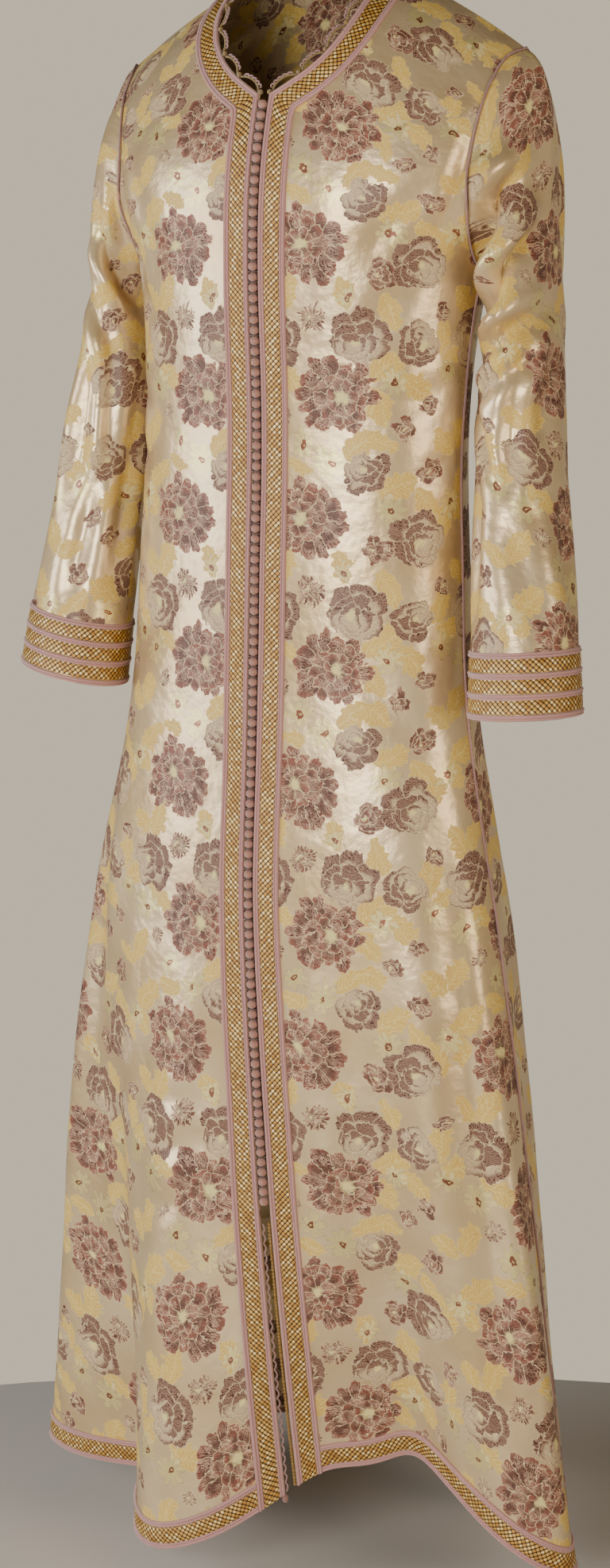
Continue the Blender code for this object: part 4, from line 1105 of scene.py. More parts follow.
def brocade(name, colours, shift, groups):
    """Figured satin brocade: a shiny weft-faced ground with duller flowers woven on it in coarser
    coloured weft, so the flowers show slanting thread lines and the ground long highlights."""
    made, tree, shader = new_material(name, Coat_Weight=0.15, Coat_Roughness=0.25)
    uv = add(tree, "UVMap", uv_map="UVMap")
    place = add(tree, "VectorMath:MULTIPLY", uv, (1000.0, 1000.0, 1.0))
    place = add(tree, "VectorMath:ADD", place, (shift[0], shift[1], 0))
    # Drawn warps waver by a few millimetres, and petal edges by one.
    bent = place
    for scale, reach in ((0.045, 16.0), (0.25, 6.0)):
        waver = add(tree, "TexNoise", place, None, scale, 1.0)
        waver = add(tree, "VectorMath:SUBTRACT", waver.outputs["Color"], (0.5, 0.5, 0.5))
        waver = add(tree, "VectorMath:MULTIPLY", waver, (reach, reach, 0.0))
        bent = add(tree, "VectorMath:ADD", bent, waver)
    # Slanting thread lines of the flowers' weft, drawn at 2.2 mm so that they show.
    apart = add(tree, "SeparateXYZ", bent)
    slant = add(tree, "Math:MULTIPLY_ADD", apart.outputs[0], 0.45, apart.outputs[1])
    slant = add(tree, "Math:MULTIPLY", slant, 2 * np.pi / 2.2)
    hatch = add(tree, "Math:SINE", slant)
    hatch = add(tree, "MapRange", hatch, 0.0, 0.9, 0.0, 1.0)
    # The ground's tone drifts a little where the satin is pressed or stretched.
    drift = add(tree, "TexNoise", place, None, 0.010, 2.0)
    drift = add(tree, "MapRange", drift, 0.35, 0.65, 0.0, 1.0)
    colour = add(tree, "MixRGB", drift, colours.ground, colours.ground_deep)

    shape = add(tree, "Group", *nearest(tree, bent, LEAVES)[:3], node_tree=groups["leaf"])
    tint = add(tree, "MixRGB", shape.outputs[1], colours.leaf, colours.leaf_vein)
    amount = add(tree, "Math:MULTIPLY", shape.outputs[0], 0.85)
    covered = amount
    colour = add(tree, "MixRGB", amount, colour, tint)

    shape = add(tree, "Group", *nearest(tree, bent, DAISIES)[:3], node_tree=groups["daisy"])
    tint = add(tree, "MixRGB", shape.outputs[1], colours.daisy, colours.daisy_line)
    colour = add(tree, "MixRGB", shape.outputs[0], colour, tint)
    colour = add(tree, "MixRGB", shape.outputs[2], colour, colours.ring)

    light, deep = colours.petal, colours.petal_deep
    # The pale thread lines come and go over about 10 mm.
    streak = add(tree, "TexNoise", place, None, 0.10, 1.0)
    streak = add(tree, "MapRange", streak, 0.40, 0.62, 0.15, 0.85)
    outline, thread = colours.outline, colours.thread
    for motifs in (ROSES, PEONIES):
        shape = add(tree, "Group", *nearest(tree, bent, motifs), node_tree=groups["flower"])
        inside, line, depth, chance, heart, rays, side = shape.outputs
        threads = add(tree, "Math:MAXIMUM", rays, hatch)
        if motifs is ROSES:
            # A rose's petals are deep along their edge, in crescents, and cream at their foot.
            start = add(tree, "Math:MULTIPLY", side, chance)
            start = add(tree, "Math:ADD", start, side)
            start = add(tree, "Math:MULTIPLY_ADD", start, 0.19, -0.02)
            end = add(tree, "Math:ADD", start, 0.10)
            foot = add(tree, "MapRange", depth, start, end, 0.0, 0.85)
            threads = add(tree, "Math:MULTIPLY", threads, 0.45)
            edge = add(tree, "MixRGB", threads, deep, thread)
            faint = add(tree, "MixRGB", threads, outline, light)
            petal = add(tree, "MixRGB", foot, edge, faint)
        else:
            # A peony's are pale along their edge and deep at their foot.
            tone = add(tree, "MapRange", depth, 0.02, 0.20, 0.0, 1.0)
            tone = add(tree, "Math:MULTIPLY_ADD", chance, 0.6, tone)
            tone = add(tree, "Math:SUBTRACT", tone, 0.30, use_clamp=True)
            petal = add(tree, "MixRGB", tone, light, deep)
            threads = add(tree, "Math:MULTIPLY", threads, streak)
            petal = add(tree, "MixRGB", threads, petal, thread)
        petal = add(tree, "MixRGB", line, petal, outline)
        petal = add(tree, "MixRGB", heart, petal, colours.heart)
        colour = add(tree, "MixRGB", inside, colour, petal)
        covered = add(tree, "Math:MAXIMUM", covered, inside)

    tree.links.new(colour.outputs[0], shader.inputs["Base Color"])
    # The flowers' weft is duller than the ground's long floats.
    rough = add(tree, "MapRange", covered, 0.0, 1.0, 0.30, 0.68)
    tree.links.new(rough.outputs[0], shader.inputs["Roughness"])
    metal = add(tree, "MapRange", covered, 0.0, 1.0, 0.45, 0.0)
    tree.links.new(metal.outputs[0], shader.inputs["Metallic"])
    # Puckers round the woven flowers, about 30 mm across and half a millimetre deep, with finer
    # ones of 5 mm.
    normal_in = shader.inputs["Normal"]
    for scale, strength, depth in ((0.20, 0.25, 0.001), (0.034, 0.32, 0.005)):
        pucker = add(tree, "TexNoise", place, None, scale, 2.0)
        bump = add(tree, "Bump", strength, depth)
        tree.links.new(pucker.outputs[0], bump.inputs["Height"])
        tree.links.new(bump.outputs[0], normal_in)
        normal_in = bump.inputs["Normal"]
    return made


BEAD_STEP = 5.0 * MM  # along the band; square to the threads it is 3.5 mm


def gold_weave(name, colours):
    """Hand-woven gold-wrapped thread: slanting beads of bright metal with painted shade in the gaps
    between them and painted glints on the brightest beads, at a spacing of 3.5 mm, drawn coarser than the
    real
    1.5 mm so that it shows."""
    made, tree, shader = new_material(name, Roughness=0.45, Metallic=0.2)
    uv = add(tree, "UVMap", uv_map="UVMap")
    place = add(tree, "VectorMath:MULTIPLY", uv, (1000.0, 1000.0, 1.0))
    fuzz = add(tree, "TexNoise", place, None, 0.6, 1.0)
    fuzz = add(tree, "VectorMath:SUBTRACT", fuzz.outputs["Color"], (0.5, 0.5, 0.5))
    fuzz = add(tree, "VectorMath:MULTIPLY", fuzz, (0.5, 0.5, 0.0))
    place = add(tree, "VectorMath:ADD", place, fuzz)
    apart = add(tree, "SeparateXYZ", place)
    pitch = np.pi / (BEAD_STEP / MM)
    one = add(tree, "Math:ADD", apart.outputs[0], apart.outputs[1])
    one = add(tree, "Math:MULTIPLY", one, pitch)
    two = add(tree, "Math:SUBTRACT", apart.outputs[0], apart.outputs[1])
    two = add(tree, "Math:MULTIPLY", two, pitch)
    beads = []
    for way, power in ((one, 0.7), (two, 1.1)):
        wave = add(tree, "Math:SINE", way)
        wave = add(tree, "Math:ABSOLUTE", wave)
        beads.append(add(tree, "Math:POWER", wave, power))
    bead = add(tree, "Math:MULTIPLY", *beads)
    # Each bead has its own brightness.
    counts = [add(tree, "Math:DIVIDE", way, np.pi) for way in (one, two)]
    cells = [add(tree, "Math:FLOOR", count) for count in counts]
    cell = add(tree, "CombineXYZ", *cells, 0.0)
    chance = add(tree, "TexWhiteNoise", cell, noise_dimensions="3D")
    body_colour = add(tree, "MixRGB", chance, colours.gold, colours.gold_bright)
    # Painted shade: the gaps between the beads take a dark brown that stands in for the shadow between
    # them.
    mask = add(tree, "MapRange", bead, 0.18, 0.50, 0.0, 1.0)
    colour = add(tree, "MixRGB", mask, colours.gold_gap_shade, body_colour)
    # Painted highlight: the brightest beads are mixed towards a near-white glint colour.
    painted_glint = add(tree, "Math:MULTIPLY", bead, chance)
    painted_glint = add(tree, "MapRange", painted_glint, 0.50, 0.80, 0.0, 0.7)
    colour = add(tree, "MixRGB", painted_glint, colour, colours.gold_painted_glint)
    tree.links.new(colour.outputs[0], shader.inputs["Base Color"])
    bump = add(tree, "Bump", 0.5, 0.0007)
    tree.links.new(bead.outputs[0], bump.inputs["Height"])
    tree.links.new(bump.outputs[0], shader.inputs["Normal"])
    return made


def silk_cord(name, light, deep, pitch, steep):
    """Braided silk cord: slanting strands with a soft sheen, one each pitch in millimetres. The strands'
    crests take the light colour, and the grooves between them take the deep one, which is painted shade.
    """
    made, tree, shader = new_material(name, Roughness=0.5, Sheen_Weight=0.5, Sheen_Roughness=0.4)
    uv = add(tree, "UVMap", uv_map="UVMap")
    place = add(tree, "VectorMath:MULTIPLY", uv, (1000.0, 1000.0, 1.0))
    apart = add(tree, "SeparateXYZ", place)
    lean = add(tree, "Math:MULTIPLY", apart.outputs[0], steep)
    lean = add(tree, "Math:ADD", lean, apart.outputs[1])
    wave = add(tree, "Math:MULTIPLY", lean, 2 * np.pi / pitch)
    wave = add(tree, "Math:SINE", wave)
    strand = add(tree, "MapRange", wave, -1.0, 0.6, 0.0, 1.0)
    fleck = add(tree, "TexNoise", place, None, 0.8, 1.0)
    amount = add(tree, "MapRange", fleck, 0.3, 0.7, 0.75, 1.0)
    amount = add(tree, "Math:MULTIPLY", amount, strand)
    # Painted shade: the deep colour fills the grooves between the strands. The fleck noise varies the
    # strands' own tone.
    colour = add(tree, "MixRGB", amount, deep, light)
    tree.links.new(colour.outputs[0], shader.inputs["Base Color"])
    bump = add(tree, "Bump", 0.7, 0.0005)
    tree.links.new(strand.outputs[0], bump.inputs["Height"])
    tree.links.new(bump.outputs[0], shader.inputs["Normal"])
    return made


MATERIALS = {}


def finishes():
    """All the cloth and thread materials, made once from the colours in the panel."""
    if not MATERIALS:
        colours = bpy.context.scene.kaftan_colours
        groups = {"flower": flower_group(), "daisy": daisy_group(), "leaf": leaf_group()}
        # Satin brocade, jacquard woven: broad soft highlights on the plain ground.
        for panel, shift in PATTERN_SHIFT.items():
            MATERIALS[panel] = brocade(f"satin_brocade_{panel}", colours, shift, groups)
        # Gold-wrapped thread, woven flat: many small glints, painted into its colour, with painted shade
        # between its beads.
        MATERIALS["gold"] = gold_weave("woven_gold_thread", colours)
        # Silk and crochet thread, twisted or braided: a soft line of light along it, with painted shade in
        # the grooves between its strands. Its pitch is in millimetres, and its slant in turns of the
        # strand for each width.
        for key, name, colour, pitch, steep in (
            ("cord", "rose_silk_cord", "rose", 1.5, 0.5),
            ("button", "knotted_button_thread", "button", 1.9, 2.5),
            ("loop", "dark_loop_thread", "loop_thread", 1.2, 1.0),
            ("chain", "gold_crochet_thread", "chain", 1.6, 0.8),
        ):
            light = getattr(colours, colour)
            deep = getattr(colours, f"{colour}_deep", light)
            MATERIALS[key] = silk_cord(name, light, deep, pitch, steep)
    return MATERIALS


# Where each panel's piece of the figured design starts, in millimetres across and up.
PATTERN_SHIFT = {
    "front_left": (2, -8),
    "front_right": (134, -8),
    "back": (40, 60),
    "sleeve": (60, 0),
}


# ---------------------------------------------------------------- settings


class KaftanSizes(bpy.types.PropertyGroup):
    """Sizes of the thread work that a maker would change."""

    button_width: FloatProperty(
        name="Button width", description="Across a knotted button", default=9.2 * MM, unit="LENGTH"
    )
    button_height: FloatProperty(
        name="Button height", description="Along the closure", default=8.4 * MM, unit="LENGTH"
    )
    gold_thickness: FloatProperty(
        name="Gold band", description="Thickness of the woven band", default=1.1 * MM, unit="LENGTH"
    )
    cord_height: FloatProperty(
        name="Cord height", description="How far a cord stands up", default=2.2 * MM, unit="LENGTH"
    )
    scallop_depth: FloatProperty(
        name="Scallop depth", description="Reach of the neck edging", default=9.5 * MM, unit="LENGTH"
    )


def swatch(label, colour):
    """A colour of the panel, from its sRGB hex value."""
    return FloatVectorProperty(
        name=label, description=f"Colour: {label.lower()}", default=linear(colour), size=4,
        subtype="COLOR", min=0, max=1,
    )


class KaftanColours(bpy.types.PropertyGroup):
    """Thread and cloth colours."""

    ground: swatch("Satin ground", "#DFC79D")
    ground_deep: swatch("Satin ground, deeper", "#CDB080")
    leaf: swatch("Leaf", "#D6AE48")
    leaf_vein: swatch("Leaf vein", "#E4C972")
    daisy: swatch("Daisy", "#E0CD8C")
    daisy_line: swatch("Daisy outline", "#A08D6A")
    ring: swatch("Daisy ring", "#84503A")
    petal: swatch("Petal", "#844433")
    petal_deep: swatch("Petal, deep", "#50261B")
    thread: swatch("Petal thread lines", "#CFA98A")
    outline: swatch("Petal outline", "#E0CB9E")
    heart: swatch("Flower heart", "#E4D28A")
    gold: swatch("Gold thread", "#BE8734")
    gold_bright: swatch("Gold thread, bright", "#EEC468")
    # Painted shade between the gold beads.
    gold_gap_shade: swatch("Between gold threads", "#3A2210")
    # Painted highlight: the glint colour stands in for light caught on the gold.
    gold_painted_glint: swatch("Glint", "#FFF4CC")
    rose: swatch("Rose cord", "#D3A39C")
    # Painted shade in the grooves between the cord's strands.
    rose_deep: swatch("Rose cord, deep", "#AE7A72")
    button: swatch("Button thread", "#D09A86")
    # Painted shade in the grooves between the button thread's strands.
    button_deep: swatch("Button thread, deep", "#8E5B4C")
    loop_thread: swatch("Loop thread", "#6E4536")
    chain: swatch("Crochet gold", "#C9A352")
    # Painted shade in the grooves between the crochet thread's strands.
    chain_deep: swatch("Crochet gold, deep", "#7E6028")


# ---------------------------------------------------------------- pieces


class Panel:
    """A cut panel's fine grid: its middle surface as worn, the way out of it and its weave."""

    def __init__(self, name, angle, level):
        self.angle, self.level = angle, level
        middle = cloth(angle, level)
        self.out = grid_normals(middle, False)
        if dot(self.out, middle).mean() < 0:
            self.out = -self.out
        self.outer = middle + self.out * CAD_WALL / 2
        self.inner = self.outer - self.out * WALL
        u = read_table(ROUND_TABLE, angle, level)
        if name == "back":
            u = u - 2 * ROUND_TABLE[0, 0] * (u < 0)
        # The grain runs straight up the cloth, so every height is measured at the middle line.
        middle_line = np.full(angle.shape, np.pi if name == "back" else 0.0)
        self.uv = np.stack([u, read_table(UP_TABLE, middle_line, level)], -1)

    def open_edge(self, rows):
        """Points of a front's centre edge, its ways off the cloth and its ways out of it."""
        edge, out = self.outer[rows, 0], self.out[rows, 0]
        return edge - out * CAD_WALL / 2, unit(edge - self.outer[rows, BAND_PARTS]), out


PANELS = {}


def panels():
    """The three body panels by name, worked out once."""
    if not PANELS:
        for name, side in SIDES.items():
            PANELS[name] = Panel(f"front_{name}", *front_grid(side))
        PANELS["back"] = Panel("back", *back_grid())
    return PANELS


def between(panel_lines, shares):
    """Angles and levels at shares of the way between two lines of a panel: (shares, points)."""
    (angle_a, level_a), (angle_b, level_b) = panel_lines
    share = np.asarray(shares)[:, None]
    return angle_a + (angle_b - angle_a) * share, level_a + (level_b - level_a) * share


def flat_profile(share, thickness):
    """Woven band: level, with rounded selvedges."""
    return thickness * (1 - 0.45 * np.abs(2 * share - 1) ** 6)


def cord_profile(share, height):
    """A round cord beside a flat braid: two half circles side by side, the first one higher."""
    first = np.sqrt(np.clip(1 - ((share - 0.30) / 0.30) ** 2, 0, 1))
    second = 0.72 * np.sqrt(np.clip(1 - ((share - 0.80) / 0.21) ** 2, 0, 1))
    return np.maximum(height * np.maximum(first, second), 0.25 * MM)


def laid(name, lines, start, end, profile, material, across=9, turned=False):
    """A strip sewn on the cloth between two of its lines, at these shares of the way across.

    Its lower face is the cloth's outer face moved out by the lift; its upper face is that moved
    out again by the profile.
    """
    local = np.linspace(0, 1, across)
    angle, level = between(lines, start + (end - start) * local)
    out = normal(cloth, angle, level)
    low = cloth(angle, level) + out * (CAD_WALL / 2 + LIFT)
    height = profile(1 - local if turned else local)
    high = low + out * height[:, None, None]
    lengths = run(low.mean(0))
    width = np.linalg.norm(low[-1] - low[0], axis=1).mean() * local
    uv = np.stack(np.broadcast_arrays(width[:, None], lengths[None, :]), -1)
    return wall(name, high, low, uv, False, material, 60)


CORD_SHARE = CORD_WIDTH / TRIM_WIDTH
SPACE_SHARE = LIFT / TRIM_WIDTH


def trim(names, lines):
    """Gold band with a rose cord on each side; both cords have their round strand outermost."""
    sizes = bpy.context.scene.kaftan_sizes
    finish = finishes()
    cord = lambda share: cord_profile(share, sizes.cord_height)
    band = lambda share: flat_profile(share, sizes.gold_thickness)
    inner = CORD_SHARE + SPACE_SHARE
    made = [
        laid(names[0], lines, 0.01, CORD_SHARE, cord, finish["cord"], 13),
        laid(names[1], lines, inner, 1 - inner, band, finish["gold"]),
        laid(names[2], lines, 1 - CORD_SHARE, 1.0, cord, finish["cord"], 13, turned=True),
    ]
    slots = ("rose_silk_cord", "woven_gold_thread", "rose_silk_cord")
    for piece, node, slot in zip(made, names, slots):
        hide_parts(node.removeprefix("worked_"))
    return made


def trim_names(part, place):
    """Names of a trim's inner cord, gold band and outer cord, in the order they are laid."""
    order = {
        "front": ("front_cord_inner_", "front_gold_", "front_cord_outer_"),
        "hem": ("hem_cord_lower_", "hem_gold_", "hem_cord_upper_"),
        "neck": ("neck_cord_inner_", "neck_gold_", "neck_cord_outer_"),
    }[part]
    return [f"worked_{name}{place}" for name in order]


class KAFTAN_OT_fronts(bpy.types.Operator):
    """Cuts and hangs the two fronts of figured brocade, with the bands up their edges."""

    bl_idname = "kaftan.fronts"
    bl_label = "Fronts"

    def execute(self, context):
        for name in SIDES:
            panel = panels()[name]
            material = finishes()[f"front_{name}"]
            piece = wall(f"cloth_front_{name}", panel.outer, panel.inner, panel.uv, False, material)
            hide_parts(f"front_{name}")
            angle, level = panel.angle, panel.level
            edge = ((angle[:, 0], level[:, 0]), (angle[:, BAND_PARTS], level[:, BAND_PARTS]))
            made = trim(trim_names("front", name), edge)
            rows = (0, HEM_PARTS)
            hem = [(angle[row, BAND_PARTS:], level[row, BAND_PARTS:]) for row in rows]
            made += trim(trim_names("hem", name), hem)
        return {"FINISHED"}


class KAFTAN_OT_back(bpy.types.Operator):
    """Cuts and hangs the back, with its hem band and back neck band."""

    bl_idname = "kaftan.back"
    bl_label = "Back"

    def execute(self, context):
        panel = panels()["back"]
        piece = wall("cloth_back", panel.outer, panel.inner, panel.uv, False, finishes()["back"])
        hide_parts("back")
        angle, level = panel.angle, panel.level
        made = trim(trim_names("hem", "back"), [(angle[row], level[row]) for row in (0, HEM_PARTS)])
        part = slice(SHOULDER_COLUMNS, SHOULDER_COLUMNS + NECK_COLUMNS + 1)
        lines = [(angle[row, part], level[row, part]) for row in (-1, -1 - BAND_PARTS)]
        made += trim(trim_names("neck", "back"), lines)
        return {"FINISHED"}


def sleeve_uv(points):
    """Lengths round each ring from the underarm, and down each column from the top ring, with the
    closing column. The cap keeps the lengths round of the top ring, as its flat pattern does."""
    closed = np.concatenate([points, points[:, :1]], 1)
    around = np.linalg.norm(np.diff(closed, axis=1), axis=2)
    u = np.concatenate([np.zeros((len(points), 1)), np.cumsum(around, 1)], 1)
    u = u - u[:, -1:] / 2
    u[:CAP_STEPS] = u[CAP_STEPS]
    down = np.linalg.norm(np.diff(closed, axis=0), axis=2)
    v = np.concatenate([np.zeros((1, closed.shape[1])), np.cumsum(down, 0)], 0)
    return np.stack([u, v[CAP_STEPS] - v], -1)


class KAFTAN_OT_sleeves(bpy.types.Operator):
    """Sets in the two sleeves, creased at the armpit and elbow, with their banded cuffs."""

    bl_idname = "kaftan.sleeves"
    bl_label = "Sleeves"

    def execute(self, context):
        sizes = context.scene.kaftan_sizes
        finish = finishes()
        for name in SIDES:
            points = sleeve_grid(name)
            out = grid_normals(points, True)
            outer = points + out * CAD_WALL / 2
            uv = sleeve_uv(points)
            piece = wall(f"cloth_sleeve_{name}", outer, outer - out * WALL, uv, True, finish["sleeve"])
            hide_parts(f"sleeve_{name}")
            made = self.cuff(name, outer[-RING_STEPS - 1 :], out[-RING_STEPS - 1 :], sizes, finish)
        return {"FINISHED"}

    def cuff(self, name, outer, out, sizes, finish):
        """Three gold bands between four cords, closed round the arm."""
        shares = np.linspace(0, 1, len(outer))
        cord = CORD_WIDTH / CUFF_TRIM_HEIGHT
        space = LIFT / CUFF_TRIM_HEIGHT
        band = (1 - (CUFF_BANDS + 1) * cord) / CUFF_BANDS
        made = []
        for k in range(2 * CUFF_BANDS + 1):
            gold = k % 2 == 1
            start = (k // 2) * (cord + band) + (cord if gold else 0) + space / 2
            end = start + (band if gold else cord) - space
            local = np.linspace(0, 1, 9 if gold else 13)
            places = (start + (end - start) * local) * (len(outer) - 1)
            flat = outer.reshape(len(outer), -1)
            low = along(flat, places).reshape(len(places), -1, 3)
            ways = unit(along(out.reshape(len(outer), -1), places).reshape(len(places), -1, 3))
            low = low + ways * LIFT
            if gold:
                height, material = flat_profile(local, sizes.gold_thickness), finish["gold"]
            else:
                height = cord_profile(local if k else 1 - local, sizes.cord_height)
                material = finish["cord"]
            high = low + ways * height[:, None, None]
            ring = np.concatenate([low[0], low[0, :1]])
            lengths = run(ring)
            # A whole number of weave steps goes round, so the pattern meets itself.
            lengths = lengths * (round(lengths[-1] / BEAD_STEP) * BEAD_STEP / lengths[-1])
            across = local * CUFF_TRIM_HEIGHT * (end - start)
            uv = np.stack(np.broadcast_arrays(across[:, None], lengths[None, :]), -1)
            node = f"cuff_{'gold' if gold else 'cord'}_{name}_{k // 2 + 1}"
            piece = wall(f"worked_{node}", high, low, uv, True, material, 60)
            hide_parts(node)
            made.append(piece)
        return made


class KAFTAN_OT_seam_cords(bpy.types.Operator):
    """Lays the rose cord over the side seams and round the armholes."""

    bl_idname = "kaftan.seam_cords"
    bl_label = "Seam cords"

    def execute(self, context):
        radius = SEAM_CORD_RADIUS
        for name, side in SIDES.items():
            front, back = panels()[name], panels()["back"]
            column = -1 if name == "right" else 0
            rows = slice(HEM_PARTS + 1, 2 * HEM_PARTS + LOW_ROWS - 2)
            path = (front.outer[rows, -1] + back.outer[rows, column]) / 2
            out = unit(front.out[rows, -1] + back.out[rows, column])
            rings = frames_along(path + out * radius * 0.9, out)[None]
            piece = tubes(f"worked_side_cord_{name}", rings, radius, finishes()["cord"])
            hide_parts(f"side_cord_{name}")
            turns = np.linspace(0, np.pi, ARMHOLE_STEPS + 1)
            ahead, behind = armhole(turns, side, False), armhole(turns[-2:0:-1], side, True)
            angle, level = (np.concatenate(pair) for pair in zip(ahead, behind))
            sleeve = sleeve_grid(name)
            points = cloth(angle, level)
            way_out = normal(body, angle, level)
            sleeve_out = grid_normals(sleeve, True)[0]
            out = unit(way_out + sleeve_out)
            clear = radius + LIFT + CAD_WALL / 2
            lean = np.maximum(dot(out, way_out), 0.45)
            path = (points + sleeve[0]) / 2 + out * (clear / lean)[:, None]
            around = unit(np.roll(path, -1, 0) - np.roll(path, 1, 0))
            beside = unit(np.cross(around, out))
            rings = np.stack([path, beside, np.cross(beside, around)], -2)[None]
            piece = tubes(f"worked_armhole_cord_{name}", rings, radius, finishes()["cord"], loop=True)
            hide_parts(f"armhole_cord_{name}")
        return {"FINISHED"}


def closure():
    """The line between the fronts' edges with its ways out and across, from the hem up."""
    rows = slice(0, 2 * HEM_PARTS + LOW_ROWS - 2 + V_ROW)
    left, right = panels()["left"], panels()["right"]
    middle = (left.outer[rows, 0] + right.outer[rows, 0]) / 2
    out = unit(left.out[rows, 0] + right.out[rows, 0])
    across = unit(left.outer[rows, 0] - right.outer[rows, 0])
    return middle - out * CAD_WALL / 2, out, across


def read_line(heights, line, values):
    """Values along a line, read at heights."""
    return np.stack([np.interp(heights, line[:, 2], values[:, k]) for k in range(3)], -1)


class KAFTAN_OT_buttons(bpy.types.Operator):
    """Ties the knotted buttons down the closure, with dark loop threads between them."""

    bl_idname = "kaftan.buttons"
    bl_label = "Buttons"

    def execute(self, context):
        sizes, finish = context.scene.kaftan_sizes, finishes()
        line, out, across = closure()
        heights = V_BOTTOM_HEIGHT - BUTTON_PITCH * (1 + np.arange(BUTTON_COUNT))
        place = read_line(heights, line, line)
        out, across = (unit(read_line(heights, line, ways)) for ways in (out, across))
        self.knots(place, out, across, sizes, finish)
        self.threads(place, out, across, finish)
        return {"FINISHED"}

    def knots(self, place, out, across, sizes, finish):
        """Each knot is a ball whose radius swells by a cosine of twice the turn plus the tilt,
        as a thread ball's wraps do, flattened to the button's width and height."""
        rows, columns = 8, 12
        tilt = np.linspace(0, np.pi, rows)
        turn = 2 * np.pi * np.arange(columns) / columns
        swell = 1 + 0.05 * np.cos(2 * turn[None, :] + 2.5 * tilt[:, None])
        side = np.sin(tilt)[:, None] * np.cos(turn) * swell * sizes.button_width / 2
        front = np.sin(tilt)[:, None] * np.sin(turn) * swell * sizes.button_width * 0.46
        up = np.cos(tilt)[:, None] * np.ones(columns) * sizes.button_height / 2
        along_way = unit(np.cross(out, across))
        middle = place + out * BUTTON_PROUD
        points = (
            middle[:, None, None]
            + across[:, None, None] * side[..., None]
            + out[:, None, None] * front[..., None]
            + along_way[:, None, None] * up[..., None]
        )
        i, j = quads(rows, columns, True)
        faces = i * columns + j % columns + (np.arange(len(place)) * rows * columns)[:, None, None]
        uv = np.stack([j / columns * 0.024, i / (rows - 1) * 0.011], -1)
        uv = np.broadcast_to(uv, (len(place), *uv.shape))
        faces, uv = faces.reshape(-1, 4), uv.reshape(-1, 4, 2)
        piece = put_mesh("knotted_buttons", points.reshape(-1, 3), faces, uv, finish["button"])
        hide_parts(*[f"button_row_{k + 1:02d}" for k in range(10)])

    def threads(self, place, out, across, finish):
        """A dark thread over each gap: a half ellipse from one band to the other."""
        middle = (place[:-1] + place[1:]) / 2
        turn = np.linspace(-1.15, 1.15, 7)
        side = np.sin(turn) * LOOP_THREAD_SPREAD
        rise = np.cos(turn) * LOOP_THREAD_RISE
        path = middle[:, None] + across[:-1, None] * side[:, None] + out[:-1, None] * rise[:, None]
        rings = frames_along(path, np.broadcast_to(out[:-1, None], path.shape))
        piece = tubes("loop_threads", rings, LOOP_THREAD_RADIUS, finish["loop"])


class KAFTAN_OT_slit(bpy.types.Operator):
    """Edges the open slit with loops on the right and gold beads on the left, and ties the knot."""

    bl_idname = "kaftan.slit"
    bl_label = "Slit"

    def execute(self, context):
        finish = finishes()
        fronts = panels()
        for row in EDGE_ROWS:
            panel = fronts[row.front]
            last = np.searchsorted(panel.open_edge(slice(LOW_ROWS))[0][:, 2], SLIT_TOP_HEIGHT)
            edge, off, out = panel.open_edge(slice(last))
            lengths = run(edge)
            count = int(lengths[-1] / row.pitch)
            places = np.linspace(0.5 * MM, lengths[-1], count * row.steps + 1)
            base, offs, outs = (
                np.stack([np.interp(places, lengths, rows[:, k]) for k in range(3)], 1)
                for rows in (edge, off, out)
            )
            offs, outs = unit(offs), unit(outs)
            wave = np.abs(np.sin(np.linspace(0, count, count * row.steps + 1) * np.pi))
            reach, radius = (row.reach + row.swing * wave) * MM, (row.radius + row.swell * wave) * MM
            path = base + offs * reach[:, None] + outs * 0.6 * MM
            piece = tubes(f"worked_{row.node}", frames_along(path, outs)[None], radius, finish[row.thread])
            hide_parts(row.node)
        self.knot(fronts["right"], finish)
        return {"FINISHED"}

    def knot(self, panel, finish):
        """The small hanging knot: a spindle whose radius is a sine, with a narrow waist."""
        corner = panel.outer[0, 0] - panel.out[0, 0] * CAD_WALL / 2
        share = np.linspace(0, 1, 15)
        path = corner - np.stack([0 * share, 0 * share, (KNOT_TOP + KNOT_LENGTH * share) * MM], 1)
        waist = 1 - KNOT_WAIST * np.exp(-(((share - 0.5) / 0.1) ** 2))
        radius = (0.4 + KNOT_RADIUS * np.sin(np.pi * share) ** 0.7 * waist) * MM
        rings = frames_along(path, np.broadcast_to(panel.out[0, 0], path.shape))[None]
        piece = tubes("hem_corner_knot", rings, radius, finish["button"])
        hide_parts("slit_knot")


